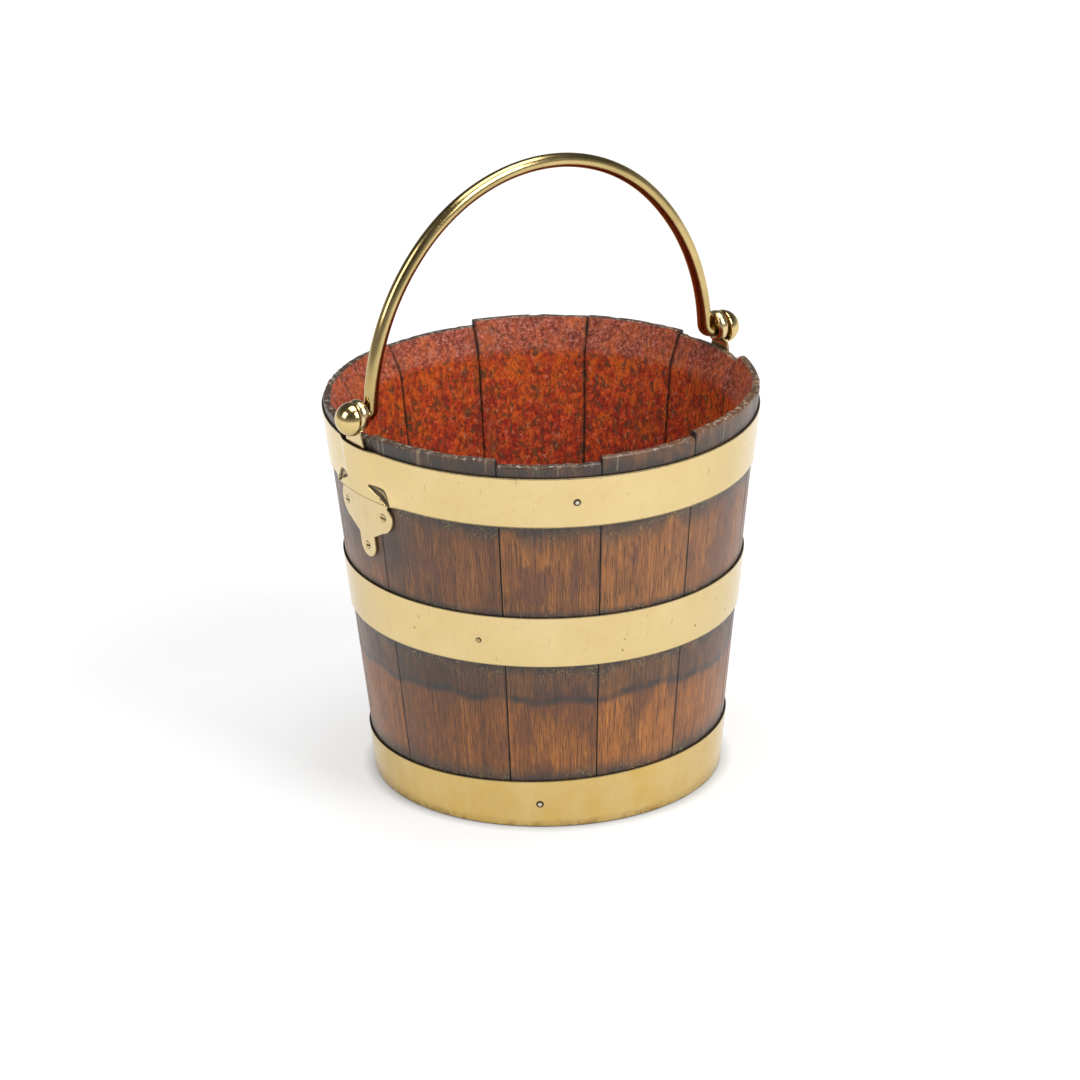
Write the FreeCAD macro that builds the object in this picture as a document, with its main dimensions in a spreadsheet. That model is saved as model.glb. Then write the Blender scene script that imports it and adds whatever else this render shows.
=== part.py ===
import FreeCAD, Part
import math
import os
import Sketcher

# Peat bucket: twelve tapered staves round a boarded base, bound by three brass hoops,
# with two cast ears and a round swing handle (the bail).
# Frame: millimetres, +Z up, origin on the floor at the middle of the foot.
# The bail's hinge line runs along X, and the right-hand ear is the one at +X.

# Driving dimensions, in millimetres, degrees and shares.
SIZES = {
    # Staves: outer radius at the floor and at the nominal rim, and the section of the wall.
    "base_radius": 143.4,
    "rim_radius": 180,
    "rim_height": 331,
    "wall_thickness": 16,
    "rim_thickness": 7,
    "rim_bevel_depth": 26,
    "rim_chamfer": 1.5,
    "foot_bevel": 5,
    "first_seam_angle": 13.9,
    # Base boards, standing in a groove cut round the staves, and the dowels between them.
    "base_lift": 18,
    "base_thickness": 14,
    "base_bevel": 6,
    "groove_width": 7,
    "groove_depth": 5,
    "groove_gap": 0.2,
    "dowel_diameter": 8,
    "dowel_length": 44,
    "dowel_place_share": 0.5,
    # Hoops: strip sizes, places and how far each sits out of level.
    "hoop_thickness": 1.7,
    "hoop_gap": 0.1,
    "top_hoop_drop": 10.5,
    "top_hoop_width": 44.5,
    "top_hoop_tilt": -0.86,
    "middle_hoop_lift_share": 0.45166,
    "middle_hoop_width": 45,
    "middle_hoop_tilt": -0.82,
    "base_hoop_lift": 0.5,
    "base_hoop_width": 42.8,
    "base_hoop_tilt": 1.5,
    "tilt_heading": -33.6,
    # Lapped joint of each hoop, with its two rivets.
    "lap_length": 36,
    "top_hoop_lap_angle": 46,
    "middle_hoop_lap_angle": 38,
    "base_hoop_lap_angle": 54,
    "rivet_spacing": 22,
    "rivet_head_diameter": 6,
    "rivet_head_height": 1.2,
    "rivet_shank_diameter": 3,
    # Nails that hold the hoops.
    "nail_head_diameter": 4.8,
    "nail_head_height": 0.9,
    "nail_shank_diameter": 2.2,
    "nail_length": 11,
    "nail_point": 4,
    # Ears: eye, neck, shoulders, lobes and tab; drops are measured down from the nominal rim.
    "eye_rise": 16,
    "eye_radius": 13,
    "eye_thickness": 9.5,
    "eye_hole_radius": 7.25,
    "eye_chamfer": 1.3,
    "eye_proud": 2.5,
    "neck_rise": 3,
    "neck_gap": 0.5,
    "plate_thickness": 3,
    "plate_gap": 0.1,
    "shoulder_drop": 40,
    "shoulder_foot_drop": 53.5,
    "shoulder_half_width": 33,
    "lobe_drop": 66,
    "lobe_spread": 21,
    "lobe_radius": 15.3,
    "notch_drop": 88.5,
    "tab_drop": 98.2,
    "tab_radius": 10.2,
    # Slotted countersunk screws of the ears.
    "lobe_screw_spread": 26,
    "screw_head_diameter": 7.8,
    "screw_shank_diameter": 4,
    "screw_length": 14,
    "screw_point": 5,
    "slot_width": 1.1,
    "slot_depth": 0.9,
    # Bail: bar, turned-out pins and domed caps.
    "bail_rise": 180,
    "bail_haunch_angle": 45,
    "bar_diameter": 12.3,
    "leg_gap": 1.85,
    "pin_diameter": 10,
    "pin_gap": 0.2,
    "cap_radius": 14,
    "cap_gap": 1,
    "cap_bore_depth": 8,
    # General: fit of driven fasteners in their holes, and how far a cut runs past the solid.
    "driven_fit": 0.03,
    "cut_overrun": 12,
}

# Width of each stave as a share of an even twelfth, and top height as a share of the nominal rim height,
# counter-clockwise from the first seam.
STAVE_WIDTH_SHARES = (0.967, 1.080, 0.930, 0.907, 0.933, 0.927, 1.273, 0.913, 0.933, 1.087, 1.100, 0.950)
STAVE_HEIGHT_SHARES = (1.002, 1.001, 0.987, 0.992, 0.994, 1.003, 1.0135, 0.999, 1.013, 1.0255, 1.012, 0.994)

# Width of each base board as a share of the base's diameter.
BOARD_WIDTH_SHARES = (0.31, 0.38, 0.31)

# Places round each hoop, in degrees, where a nail goes in.
NAIL_ANGLES = {
    "top_hoop": (-114.8, 35, 125),
    "middle_hoop": (-142.9, -22.9, 97.1),
    "base_hoop": (-126.4, -6.4, 113.6),
}

# Section of a domed head: radius and height as shares of the head's own.
DOME_SHARES = ((1, 0), (0.9, 0.45), (0.6, 0.8), (0, 1))

# Point of a lobe's edge where the plate's straight underside meets it, as shares of the lobe's radius.
LOBE_MEET_SHARES = (0.4, 0.88)

os.makedirs("parts", exist_ok=True)
doc = FreeCAD.newDocument("peat_bucket")
sheet = doc.addObject("Spreadsheet::Sheet", "sizes")
parts = []


def fill_sheet():
    cells = dict(SIZES)
    for number, (width, height) in enumerate(zip(STAVE_WIDTH_SHARES, STAVE_HEIGHT_SHARES), 1):
        cells[f"stave_{number}_width_share"] = width
        cells[f"stave_{number}_height_share"] = height
    for number, width in enumerate(BOARD_WIDTH_SHARES, 1):
        cells[f"board_{number}_width_share"] = width
    for hoop_name, angles in NAIL_ANGLES.items():
        for number, angle in enumerate(angles, 1):
            cells[f"{hoop_name}_nail_{number}_angle"] = angle
    for row, (alias, value) in enumerate(cells.items(), 1):
        sheet.set(f"A{row}", alias)
        sheet.set(f"B{row}", str(value))
        sheet.setAlias(f"B{row}", alias)
    doc.recompute()


def size(name):
    return f"sizes.{name}"


def angle_of(name):
    return f"(sizes.{name} * 1 deg)"


# Expressions that several pieces share.
TAPER = "((sizes.rim_radius - sizes.base_radius) / sizes.rim_height)"
LEAN = f"atan({TAPER})"
EYE_HEIGHT = "(sizes.rim_height + sizes.eye_rise)"
EYE_OUTER = "(sizes.rim_radius + sizes.eye_proud)"
EYE_INNER = f"({EYE_OUTER} - sizes.eye_thickness)"
HINGE_HEIGHT = f"({EYE_HEIGHT} - sizes.eye_hole_radius + sizes.pin_diameter / 2 + sizes.pin_gap)"
HALF_SPAN = f"({EYE_INNER} - sizes.leg_gap - sizes.bar_diameter / 2)"
CAP_BASE = f"({EYE_OUTER} + sizes.cap_gap)"
TOP_HOOP_HIGH = "(sizes.rim_height - sizes.top_hoop_drop)"
TOP_HOOP_LOW = f"({TOP_HOOP_HIGH} - sizes.top_hoop_width)"
HOOP_LOWS = {
    "top_hoop": TOP_HOOP_LOW,
    "middle_hoop": "(sizes.middle_hoop_lift_share * sizes.rim_height)",
    "base_hoop": "sizes.base_hoop_lift",
}
TOP_HOOP_SLANT = "(sizes.rim_radius * abs(tan(sizes.top_hoop_tilt * 1 deg)))"
NECK_FOOT = f"({TOP_HOOP_HIGH} + {TOP_HOOP_SLANT} + sizes.neck_gap)"


def outer_at(height):
    """Outer radius of the staves at a height."""
    return f"(sizes.base_radius + {TAPER} * ({height}))"


def below_rim(drop):
    return f"(sizes.rim_height - sizes.{drop})"


def number_of(expression):
    value = sheet.evalExpression(expression)
    return float(getattr(value, "Value", value))


def bind(thing, **expressions):
    for name, expression in expressions.items():
        thing.setExpression(name, expression)


def place(thing, x="0", y="0", z="0", yaw="0 deg", pitch="0 deg", roll="0 deg"):
    thing.setExpression("Placement", f"placement(vector({x}; {y}; {z}); rotation({yaw}; {pitch}; {roll}))")


def subpart(thing, label):
    thing.Label = label
    parts.append(thing)
    return thing


# Building blocks.

def new_body(name):
    return doc.addObject("PartDesign::Body", name)


def new_sketch(body, name, role):
    plane = next(feature for feature in body.Origin.OriginFeatures if feature.Role == role)
    sketch = body.newObject("Sketcher::SketchObject", name)
    sketch.AttachmentSupport = [(plane, "")]
    sketch.MapMode = "FlatFace"
    return sketch


def measure(sketch, name, expression, kind, *elements):
    """Add a dimension to a sketch and bind it."""
    index = sketch.addConstraint(Sketcher.Constraint(kind, *elements, number_of(expression)))
    sketch.renameConstraint(index, name)
    sketch.setExpression(f"Constraints.{name}", expression)


def draw_polygon(sketch, corners):
    """Closed outline whose corners are pairs of expressions."""
    points = [FreeCAD.Vector(number_of(across), number_of(up), 0) for across, up in corners]
    count = len(points)
    for index in range(count):
        sketch.addGeometry(Part.LineSegment(points[index], points[(index + 1) % count]), False)
    for index in range(count):
        sketch.addConstraint(Sketcher.Constraint("Coincident", index, 2, (index + 1) % count, 1))
    for index, (across, up) in enumerate(corners):
        measure(sketch, f"across_{index + 1}", across, "DistanceX", -1, 1, index, 1)
        measure(sketch, f"up_{index + 1}", up, "DistanceY", -1, 1, index, 1)


def turned(name, corners, axis, angle="360 deg"):
    """Body turned from an outline in the XZ plane about the sketch's H_Axis (X) or V_Axis (Z)."""
    body = new_body(name)
    sketch = new_sketch(body, f"{name}_section", "XZ_Plane")
    draw_polygon(sketch, corners)
    turn = body.newObject("PartDesign::Revolution", f"{name}_turn")
    turn.Profile = sketch
    turn.ReferenceAxis = (sketch, [axis])
    bind(turn, Angle=angle)
    return body


def padded(name, role, corners, length, side="One side"):
    body = new_body(name)
    sketch = new_sketch(body, f"{name}_outline", role)
    draw_polygon(sketch, corners)
    pad = body.newObject("PartDesign::Pad", f"{name}_pad")
    pad.Profile = sketch
    pad.SideType = side
    bind(pad, Length=length)
    return body


def mirrored_outline(half):
    """Whole outline from its right half, listed from the top down."""
    left = [(f"-({across})", up) for across, up in reversed(half)]
    return half + left


def cylinder(name, radius, height, **placing):
    thing = doc.addObject("Part::Cylinder", name)
    bind(thing, Radius=radius, Height=height)
    place(thing, **placing)
    return thing


def box(name, length, width, height, **placing):
    thing = doc.addObject("Part::Box", name)
    bind(thing, Length=length, Width=width, Height=height)
    place(thing, **placing)
    return thing


def cone(name, offset, low, high):
    """Solid cone that follows the staves' outer face at an offset, between two heights."""
    thing = doc.addObject("Part::Cone", name)
    bind(thing, Radius1=f"{outer_at(low)} + {offset}", Radius2=f"{outer_at(high)} + {offset}")
    bind(thing, Height=f"{high} - {low}")
    place(thing, z=low)
    return thing


def cut(name, base, tool):
    thing = doc.addObject("Part::Cut", name)
    thing.Base = base
    thing.Tool = tool
    return thing


def common(name, base, tool):
    thing = doc.addObject("Part::Common", name)
    thing.Base = base
    thing.Tool = tool
    return thing


def fuse(name, *shapes):
    thing = doc.addObject("Part::MultiFuse", name)
    thing.Shapes = list(shapes)
    return thing


def group(name, shapes, yaw="0 deg"):
    thing = doc.addObject("Part::Compound", name)
    thing.Links = shapes
    place(thing, yaw=yaw)
    return thing


# Fasteners: each is turned about X, points outwards and sits on the staves' face at an offset.

def seat_fastener(thing, angle, height, offset):
    reach = f"({outer_at(height)} + {offset})"
    place(thing, f"{reach} * cos({angle})", f"{reach} * sin({angle})", height, yaw=angle, pitch=LEAN)


def domed_head(diameter, rise):
    return [(f"{rise} * {up}", f"{diameter} / 2 * {out}") for out, up in DOME_SHARES]


def nail(name):
    shank = "sizes.nail_shank_diameter / 2"
    corners = [
        ("-sizes.nail_length", "0"),
        ("sizes.nail_point - sizes.nail_length", shank),
        ("0", shank),
    ]
    corners += domed_head(size("nail_head_diameter"), size("nail_head_height"))
    return turned(name, corners, "H_Axis")


def nail_hole(name):
    radius = "sizes.nail_shank_diameter / 2 + sizes.driven_fit"
    depth = "-sizes.nail_length - sizes.driven_fit"
    mouth = size("hoop_thickness")
    return turned(name, [(depth, "0"), (depth, radius), (mouth, radius), (mouth, "0")], "H_Axis")


def rivet(name):
    """Rivet of a lap: it holds the hoop's two ends, and stops short of the wood."""
    shank = "sizes.rivet_shank_diameter / 2"
    inner_end = "-2 * sizes.hoop_thickness"
    corners = [(inner_end, "0"), (inner_end, shank), ("0", shank)]
    corners += domed_head(size("rivet_head_diameter"), size("rivet_head_height"))
    return turned(name, corners, "H_Axis")


def rivet_hole(name):
    radius = "sizes.rivet_shank_diameter / 2 + sizes.driven_fit"
    inner_end = "-2 * sizes.hoop_thickness - sizes.hoop_gap"
    mouth = size("hoop_thickness")
    return turned(name, [(inner_end, "0"), (inner_end, radius), (mouth, radius), (mouth, "0")], "H_Axis")


def screw_outline(fit, top):
    head = f"sizes.screw_head_diameter / 2 + {fit}"
    shank = f"sizes.screw_shank_diameter / 2 + {fit}"
    head_depth = "-(sizes.screw_head_diameter - sizes.screw_shank_diameter) / 2"
    point = f"sizes.screw_point - sizes.screw_length - {fit}"
    corners = [(f"-sizes.screw_length - {fit}", "0"), (point, shank), (head_depth, shank), ("0", head)]
    if top != "0":
        corners.append((top, head))
    corners.append((top, "0"))
    return corners


def screw(name):
    """Countersunk screw with a straight slot."""
    blank = turned(f"{name}_blank", screw_outline("0", "0"), "H_Axis")
    slot = box(
        f"{name}_slot", "sizes.slot_depth + sizes.cut_overrun",
        size("screw_head_diameter"), size("slot_width"),
        x="-sizes.slot_depth", y="-sizes.screw_head_diameter / 2", z="-sizes.slot_width / 2",
    )
    return cut(name, blank, slot)


def screw_hole(name):
    return turned(name, screw_outline("sizes.driven_fit", "sizes.plate_thickness"), "H_Axis")


def screw_seats():
    """Angle and height of an ear's three screws, for the ear at +X: two lobes and the tab."""
    lobe_height = below_rim("lobe_drop")
    lobe_angle = f"asin(sizes.lobe_screw_spread / {outer_at(lobe_height)})"
    return [
        (f"(-{lobe_angle})", lobe_height),
        (lobe_angle, lobe_height),
        ("(0 deg)", below_rim("tab_drop")),
    ]


def hoop_middle(hoop_name):
    return f"({HOOP_LOWS[hoop_name]} + sizes.{hoop_name}_width / 2)"


def make_hoop_nails(hoop_name):
    """Node of a hoop's nails; gives the holes that they need."""
    nails = []
    holes = []
    for number in range(1, len(NAIL_ANGLES[hoop_name]) + 1):
        seat = (angle_of(f"{hoop_name}_nail_{number}_angle"), hoop_middle(hoop_name))
        nails.append(nail(f"{hoop_name}_nail_{number}"))
        holes.append(nail_hole(f"{hoop_name}_nail_{number}_hole"))
        for thing in (nails[-1], holes[-1]):
            seat_fastener(thing, *seat, "sizes.hoop_gap + sizes.hoop_thickness")
    subpart(group(f"{hoop_name}_nail_set", nails), f"{hoop_name}_nails")
    return holes


def make_lap_rivets(hoop_name):
    """Node of the two rivets in a hoop's lap; gives the holes that they need."""
    rivets = []
    holes = []
    lap_radius = outer_at(hoop_middle(hoop_name))
    lap_middle = f"({angle_of(f'{hoop_name}_lap_angle')} + sizes.lap_length / {lap_radius} / 2 * 1 rad)"
    for number, side in enumerate((-1, 1), 1):
        height = f"({hoop_middle(hoop_name)} + {side} * sizes.rivet_spacing / 2)"
        rivets.append(rivet(f"{hoop_name}_rivet_{number}"))
        holes.append(rivet_hole(f"{hoop_name}_rivet_{number}_hole"))
        for thing in (rivets[-1], holes[-1]):
            seat_fastener(thing, lap_middle, height, "sizes.hoop_gap + 2 * sizes.hoop_thickness")
    subpart(group(f"{hoop_name}_rivet_set", rivets), f"{hoop_name}_rivets")
    return holes


def make_ear_screws(side, yaw):
    """Node of an ear's screws; gives the group of holes that they need in the ear's own frame."""
    screws = []
    holes = []
    for number, seat in enumerate(screw_seats(), 1):
        screws.append(screw(f"ear_{side}_screw_{number}"))
        holes.append(screw_hole(f"ear_{side}_screw_{number}_hole"))
        for thing in (screws[-1], holes[-1]):
            seat_fastener(thing, *seat, "sizes.plate_gap + sizes.plate_thickness")
    subpart(group(f"ear_{side}_screw_set", screws, yaw), f"ear_{side}_screws")
    return group(f"ear_{side}_screw_holes", holes)


# Hoops: a band of strip on the staves' cone, cut to its width on a slant, with a lapped joint.

def hoop_slab(name, low, width, tilt):
    radius = "sizes.rim_radius + sizes.cut_overrun"
    return cylinder(
        f"{name}_slab", radius, width,
        z=low, yaw=angle_of("tilt_heading"), pitch=f"-{angle_of(tilt)}",
    )


def hoop_lap(name, low, high):
    lap_skin = cone(f"{name}_lap_skin", "sizes.hoop_gap + 2 * sizes.hoop_thickness", low, high)
    lap_radius = outer_at(hoop_middle(name))
    sector = cylinder(
        f"{name}_lap_sector", "sizes.rim_radius + sizes.cut_overrun", f"{high} - {low}",
        z=low, yaw=angle_of(f"{name}_lap_angle"),
    )
    bind(sector, Angle=f"sizes.lap_length / {lap_radius} * 1 rad")
    return common(f"{name}_lap", lap_skin, sector)


def ear_passage(name, margin, yaw):
    """Prism round the part of an ear that passes under the top hoop."""
    half_neck = f"sizes.eye_radius + {margin}"
    half_shoulder = f"sizes.lobe_spread + sizes.lobe_radius + {margin}"
    half = [
        (half_neck, f"{TOP_HOOP_HIGH} + sizes.cut_overrun"),
        (half_neck, f"{below_rim('shoulder_drop')} + {margin}"),
        (half_shoulder, f"{below_rim('shoulder_foot_drop')} + {margin}"),
        (half_shoulder, f"{TOP_HOOP_LOW} - sizes.cut_overrun"),
    ]
    passage = padded(name, "YZ_Plane", mirrored_outline(half), "sizes.rim_radius + sizes.cut_overrun")
    place(passage, yaw=yaw)
    return passage


def ear_covers(name, margin, offset, low, high):
    """What the ears add to the hoop's outer or inner face: the raised cone over their outline."""
    covers = []
    for side, yaw in EAR_SIDES.items():
        raised = cone(f"{name}_{side}_face", offset, low, high)
        covers.append(common(f"{name}_{side}", raised, ear_passage(f"{name}_{side}_outline", margin, yaw)))
    return covers


def make_hoop(name, low, high, slab, holes):
    outside = [cone(f"{name}_outside", "sizes.hoop_gap + sizes.hoop_thickness", low, high)]
    inside = [cone(f"{name}_inside", "sizes.hoop_gap", low, high)]
    outside.append(hoop_lap(name, low, high))
    if name == "top_hoop":
        over_plate = "sizes.plate_gap + sizes.plate_thickness + sizes.hoop_gap"
        skin = "sizes.hoop_gap + sizes.hoop_thickness"
        inside += ear_covers("ear_clearance", size("hoop_gap"), over_plate, low, high)
        outside += ear_covers("ear_cover", skin, f"{over_plate} + sizes.hoop_thickness", low, high)
    void = inside[0]
    if len(inside) > 1:
        void = fuse(f"{name}_void", *inside)
    band = cut(f"{name}_band", fuse(f"{name}_bulk", *outside), void)
    strip = common(f"{name}_strip", band, slab)
    subpart(cut(f"{name}_drilled", strip, group(f"{name}_holes", holes)), name)


def make_hoops(nail_holes, rivet_holes):
    overrun = "sizes.cut_overrun"
    top_slab = hoop_slab("top_hoop", TOP_HOOP_LOW, size("top_hoop_width"), "top_hoop_tilt")
    middle_low = HOOP_LOWS["middle_hoop"]
    middle_high = f"({middle_low} + sizes.middle_hoop_width)"
    middle_slab = hoop_slab("middle_hoop", middle_low, size("middle_hoop_width"), "middle_hoop_tilt")
    base_low = HOOP_LOWS["base_hoop"]
    base_high = f"({base_low} + sizes.base_hoop_width)"
    base_width = f"sizes.base_hoop_width + {overrun}"
    base_slab = hoop_slab("base_hoop", f"{base_low} - {overrun}", base_width, "base_hoop_tilt")
    spans = {
        "top_hoop": (f"({TOP_HOOP_LOW} - {overrun})", f"({TOP_HOOP_HIGH} + {overrun})", top_slab),
        "middle_hoop": (f"({middle_low} - {overrun})", f"({middle_high} + {overrun})", middle_slab),
        "base_hoop": (base_low, f"({base_high} + {overrun})", base_slab),
    }
    for name, span in spans.items():
        make_hoop(name, *span, nail_holes[name] + rivet_holes[name])


# Staves.

def stave_section(top):
    """Section of the wall in the XZ plane, with the rim's bevel inside and the groove for the base."""
    bevel_foot = below_rim("rim_bevel_depth")
    groove_low = size("base_lift")
    groove_high = "(sizes.base_lift + sizes.groove_width)"

    def inner_at(height):
        return f"({outer_at(height)} - sizes.wall_thickness)"

    rim_outer = outer_at(top)
    rim_shoulder = f"({top} - sizes.rim_chamfer)"
    return [
        (outer_at("0"), "0"),
        (outer_at(rim_shoulder), rim_shoulder),
        (f"{rim_outer} - sizes.rim_chamfer", top),
        (f"{rim_outer} - sizes.rim_thickness + sizes.rim_chamfer", top),
        (f"{rim_outer} - sizes.rim_thickness", rim_shoulder),
        (inner_at(bevel_foot), bevel_foot),
        (inner_at(groove_high), groove_high),
        (f"{inner_at(groove_high)} + sizes.groove_depth", groove_high),
        (f"{inner_at(groove_low)} + sizes.groove_depth", groove_low),
        (inner_at(groove_low), groove_low),
        (inner_at("sizes.foot_bevel"), size("foot_bevel")),
        (f"{inner_at('0')} + sizes.foot_bevel", "0"),
    ]


def make_staves(holes):
    count = len(STAVE_WIDTH_SHARES)
    widths = [f"sizes.stave_{number}_width_share" for number in range(1, count + 1)]
    whole = "(" + " + ".join(widths) + ")"
    for number in range(1, count + 1):
        before = " + ".join(widths[:number - 1]) or "0"
        start = f"{angle_of('first_seam_angle')} + 360 deg * ({before}) / {whole}"
        top = f"(sizes.rim_height * sizes.stave_{number}_height_share)"
        blank = turned(
            f"stave_{number}_blank", stave_section(top), "V_Axis",
            f"360 deg * {widths[number - 1]} / {whole}",
        )
        place(blank, yaw=start)
        subpart(cut(f"stave_{number}", blank, holes), f"stave_{number:02d}")


# Base boards and dowels.

def make_base():
    edge_low = size("base_lift")
    edge_high = "(sizes.base_lift + sizes.groove_width - sizes.groove_gap)"
    top = "(sizes.base_lift + sizes.base_thickness)"
    wall = "(sizes.wall_thickness + sizes.groove_gap)"
    tongue = f"({outer_at(edge_low)} - {wall} + sizes.groove_depth)"
    shoulder = f"({outer_at(edge_high)} - {wall})"
    section = [
        ("0", edge_low),
        (tongue, edge_low),
        (tongue, edge_high),
        (shoulder, edge_high),
        (f"{shoulder} - sizes.base_bevel", top),
        ("0", top),
    ]
    dowels = []
    dowel_holes = []
    for joint in range(1, len(BOARD_WIDTH_SHARES)):
        shares = " + ".join(f"sizes.board_{number}_width_share" for number in range(1, joint + 1))
        joint_place = f"({tongue} * (2 * ({shares}) - 1))"
        for side in (-1, 1):
            across = f"{side} * sizes.dowel_place_share * {tongue}"
            middle = "sizes.base_lift + sizes.base_thickness / 2"
            start = f"{joint_place} - sizes.dowel_length / 2"
            name = f"dowel_{len(dowels) + 1}"
            dowels.append(cylinder(
                name, "sizes.dowel_diameter / 2", size("dowel_length"),
                x=across, y=start, z=middle, roll="-90 deg",
            ))
            dowel_holes.append(cylinder(
                f"{name}_hole", "sizes.dowel_diameter / 2 + sizes.driven_fit",
                "sizes.dowel_length + 2 * sizes.driven_fit",
                x=across, y=f"{start} - sizes.driven_fit", z=middle, roll="-90 deg",
            ))
    drilled = group("dowel_holes", dowel_holes)
    for number in range(1, len(BOARD_WIDTH_SHARES) + 1):
        shares = " + ".join(f"sizes.board_{index}_width_share" for index in range(1, number)) or "0"
        disc = turned(f"board_{number}_disc", section, "V_Axis")
        strip = box(
            f"board_{number}_strip", f"2 * {tongue}", f"2 * {tongue} * sizes.board_{number}_width_share",
            size("base_thickness"),
            x=f"-{tongue}", y=f"{tongue} * (2 * ({shares}) - 1)", z=edge_low,
        )
        board = common(f"board_{number}_blank", disc, strip)
        subpart(cut(f"board_{number}", board, drilled), f"base_board_{number}")
    subpart(group("dowel_set", dowels), "base_dowels")


# Ears: a plate on the staves' cone, a neck and an eye, modelled at +X.

def ear_plate(name):
    low = f"({below_rim('tab_drop')} - sizes.tab_radius - sizes.cut_overrun)"
    skin = cut(
        f"{name}_skin",
        cone(f"{name}_skin_outside", "sizes.plate_gap + sizes.plate_thickness", low, NECK_FOOT),
        cone(f"{name}_skin_inside", "sizes.plate_gap", low, NECK_FOOT),
    )
    reach = "sizes.rim_radius + sizes.cut_overrun"
    meet_across, meet_down = LOBE_MEET_SHARES
    half = [
        (size("eye_radius"), NECK_FOOT),
        (size("eye_radius"), below_rim("shoulder_drop")),
        (size("shoulder_half_width"), below_rim("shoulder_foot_drop")),
        (f"sizes.lobe_spread + sizes.lobe_radius * {meet_across}",
         f"{below_rim('lobe_drop')} - sizes.lobe_radius * {meet_down}"),
        (size("tab_radius"), below_rim("notch_drop")),
        (size("tab_radius"), below_rim("tab_drop")),
    ]
    web = padded(f"{name}_web", "YZ_Plane", mirrored_outline(half), reach)
    rounds = {
        "lobe_near": ("-sizes.lobe_spread", "lobe_drop", "lobe_radius"),
        "lobe_far": ("sizes.lobe_spread", "lobe_drop", "lobe_radius"),
        "tab": ("0", "tab_drop", "tab_radius"),
    }
    discs = [
        cylinder(f"{name}_{part}", size(radius), reach, y=across, z=below_rim(drop), pitch="90 deg")
        for part, (across, drop, radius) in rounds.items()
    ]
    return common(f"{name}_plate", skin, fuse(f"{name}_outline", web, *discs))


def ear_neck(name):
    """Neck between the plate and the eye: it clears the rim, then bends in under the eye."""
    bend = "(sizes.rim_height + sizes.neck_rise)"
    bend_inner = f"({outer_at(bend)} + sizes.plate_gap)"
    corners = [
        (f"{outer_at(NECK_FOOT)} + sizes.plate_gap", NECK_FOOT),
        (f"{outer_at(NECK_FOOT)} + sizes.plate_gap + sizes.plate_thickness", NECK_FOOT),
        (EYE_OUTER, bend),
        (EYE_OUTER, EYE_HEIGHT),
        (EYE_INNER, EYE_HEIGHT),
        (EYE_INNER, f"{bend} + {bend_inner} - {EYE_INNER}"),
        (bend_inner, bend),
    ]
    return padded(f"{name}_neck", "XZ_Plane", corners, "2 * sizes.eye_radius", "Symmetric")


def ear_eye(name):
    edge = "sizes.eye_radius - sizes.eye_chamfer"
    corners = [
        (EYE_INNER, "0"),
        (EYE_INNER, edge),
        (f"{EYE_INNER} + sizes.eye_chamfer", size("eye_radius")),
        (f"{EYE_OUTER} - sizes.eye_chamfer", size("eye_radius")),
        (EYE_OUTER, edge),
        (EYE_OUTER, "0"),
    ]
    eye = turned(f"{name}_eye", corners, "H_Axis")
    place(eye, z=EYE_HEIGHT)
    return eye


def make_ear(side, yaw, screw_holes):
    name = f"ear_{side}"
    solid = fuse(f"{name}_solid", ear_plate(name), ear_neck(name), ear_eye(name))
    eye_hole = cylinder(
        f"{name}_eye_hole", size("eye_hole_radius"), "sizes.rim_radius + sizes.cut_overrun",
        z=EYE_HEIGHT, pitch="90 deg",
    )
    bored = cut(f"{name}_bored", solid, eye_hole)
    ear = cut(f"{name}_drilled", bored, screw_holes)
    place(ear, yaw=yaw)
    subpart(ear, name)


# Bail: a bar bent to a three-centred arch, with its feet turned out as pins.

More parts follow.
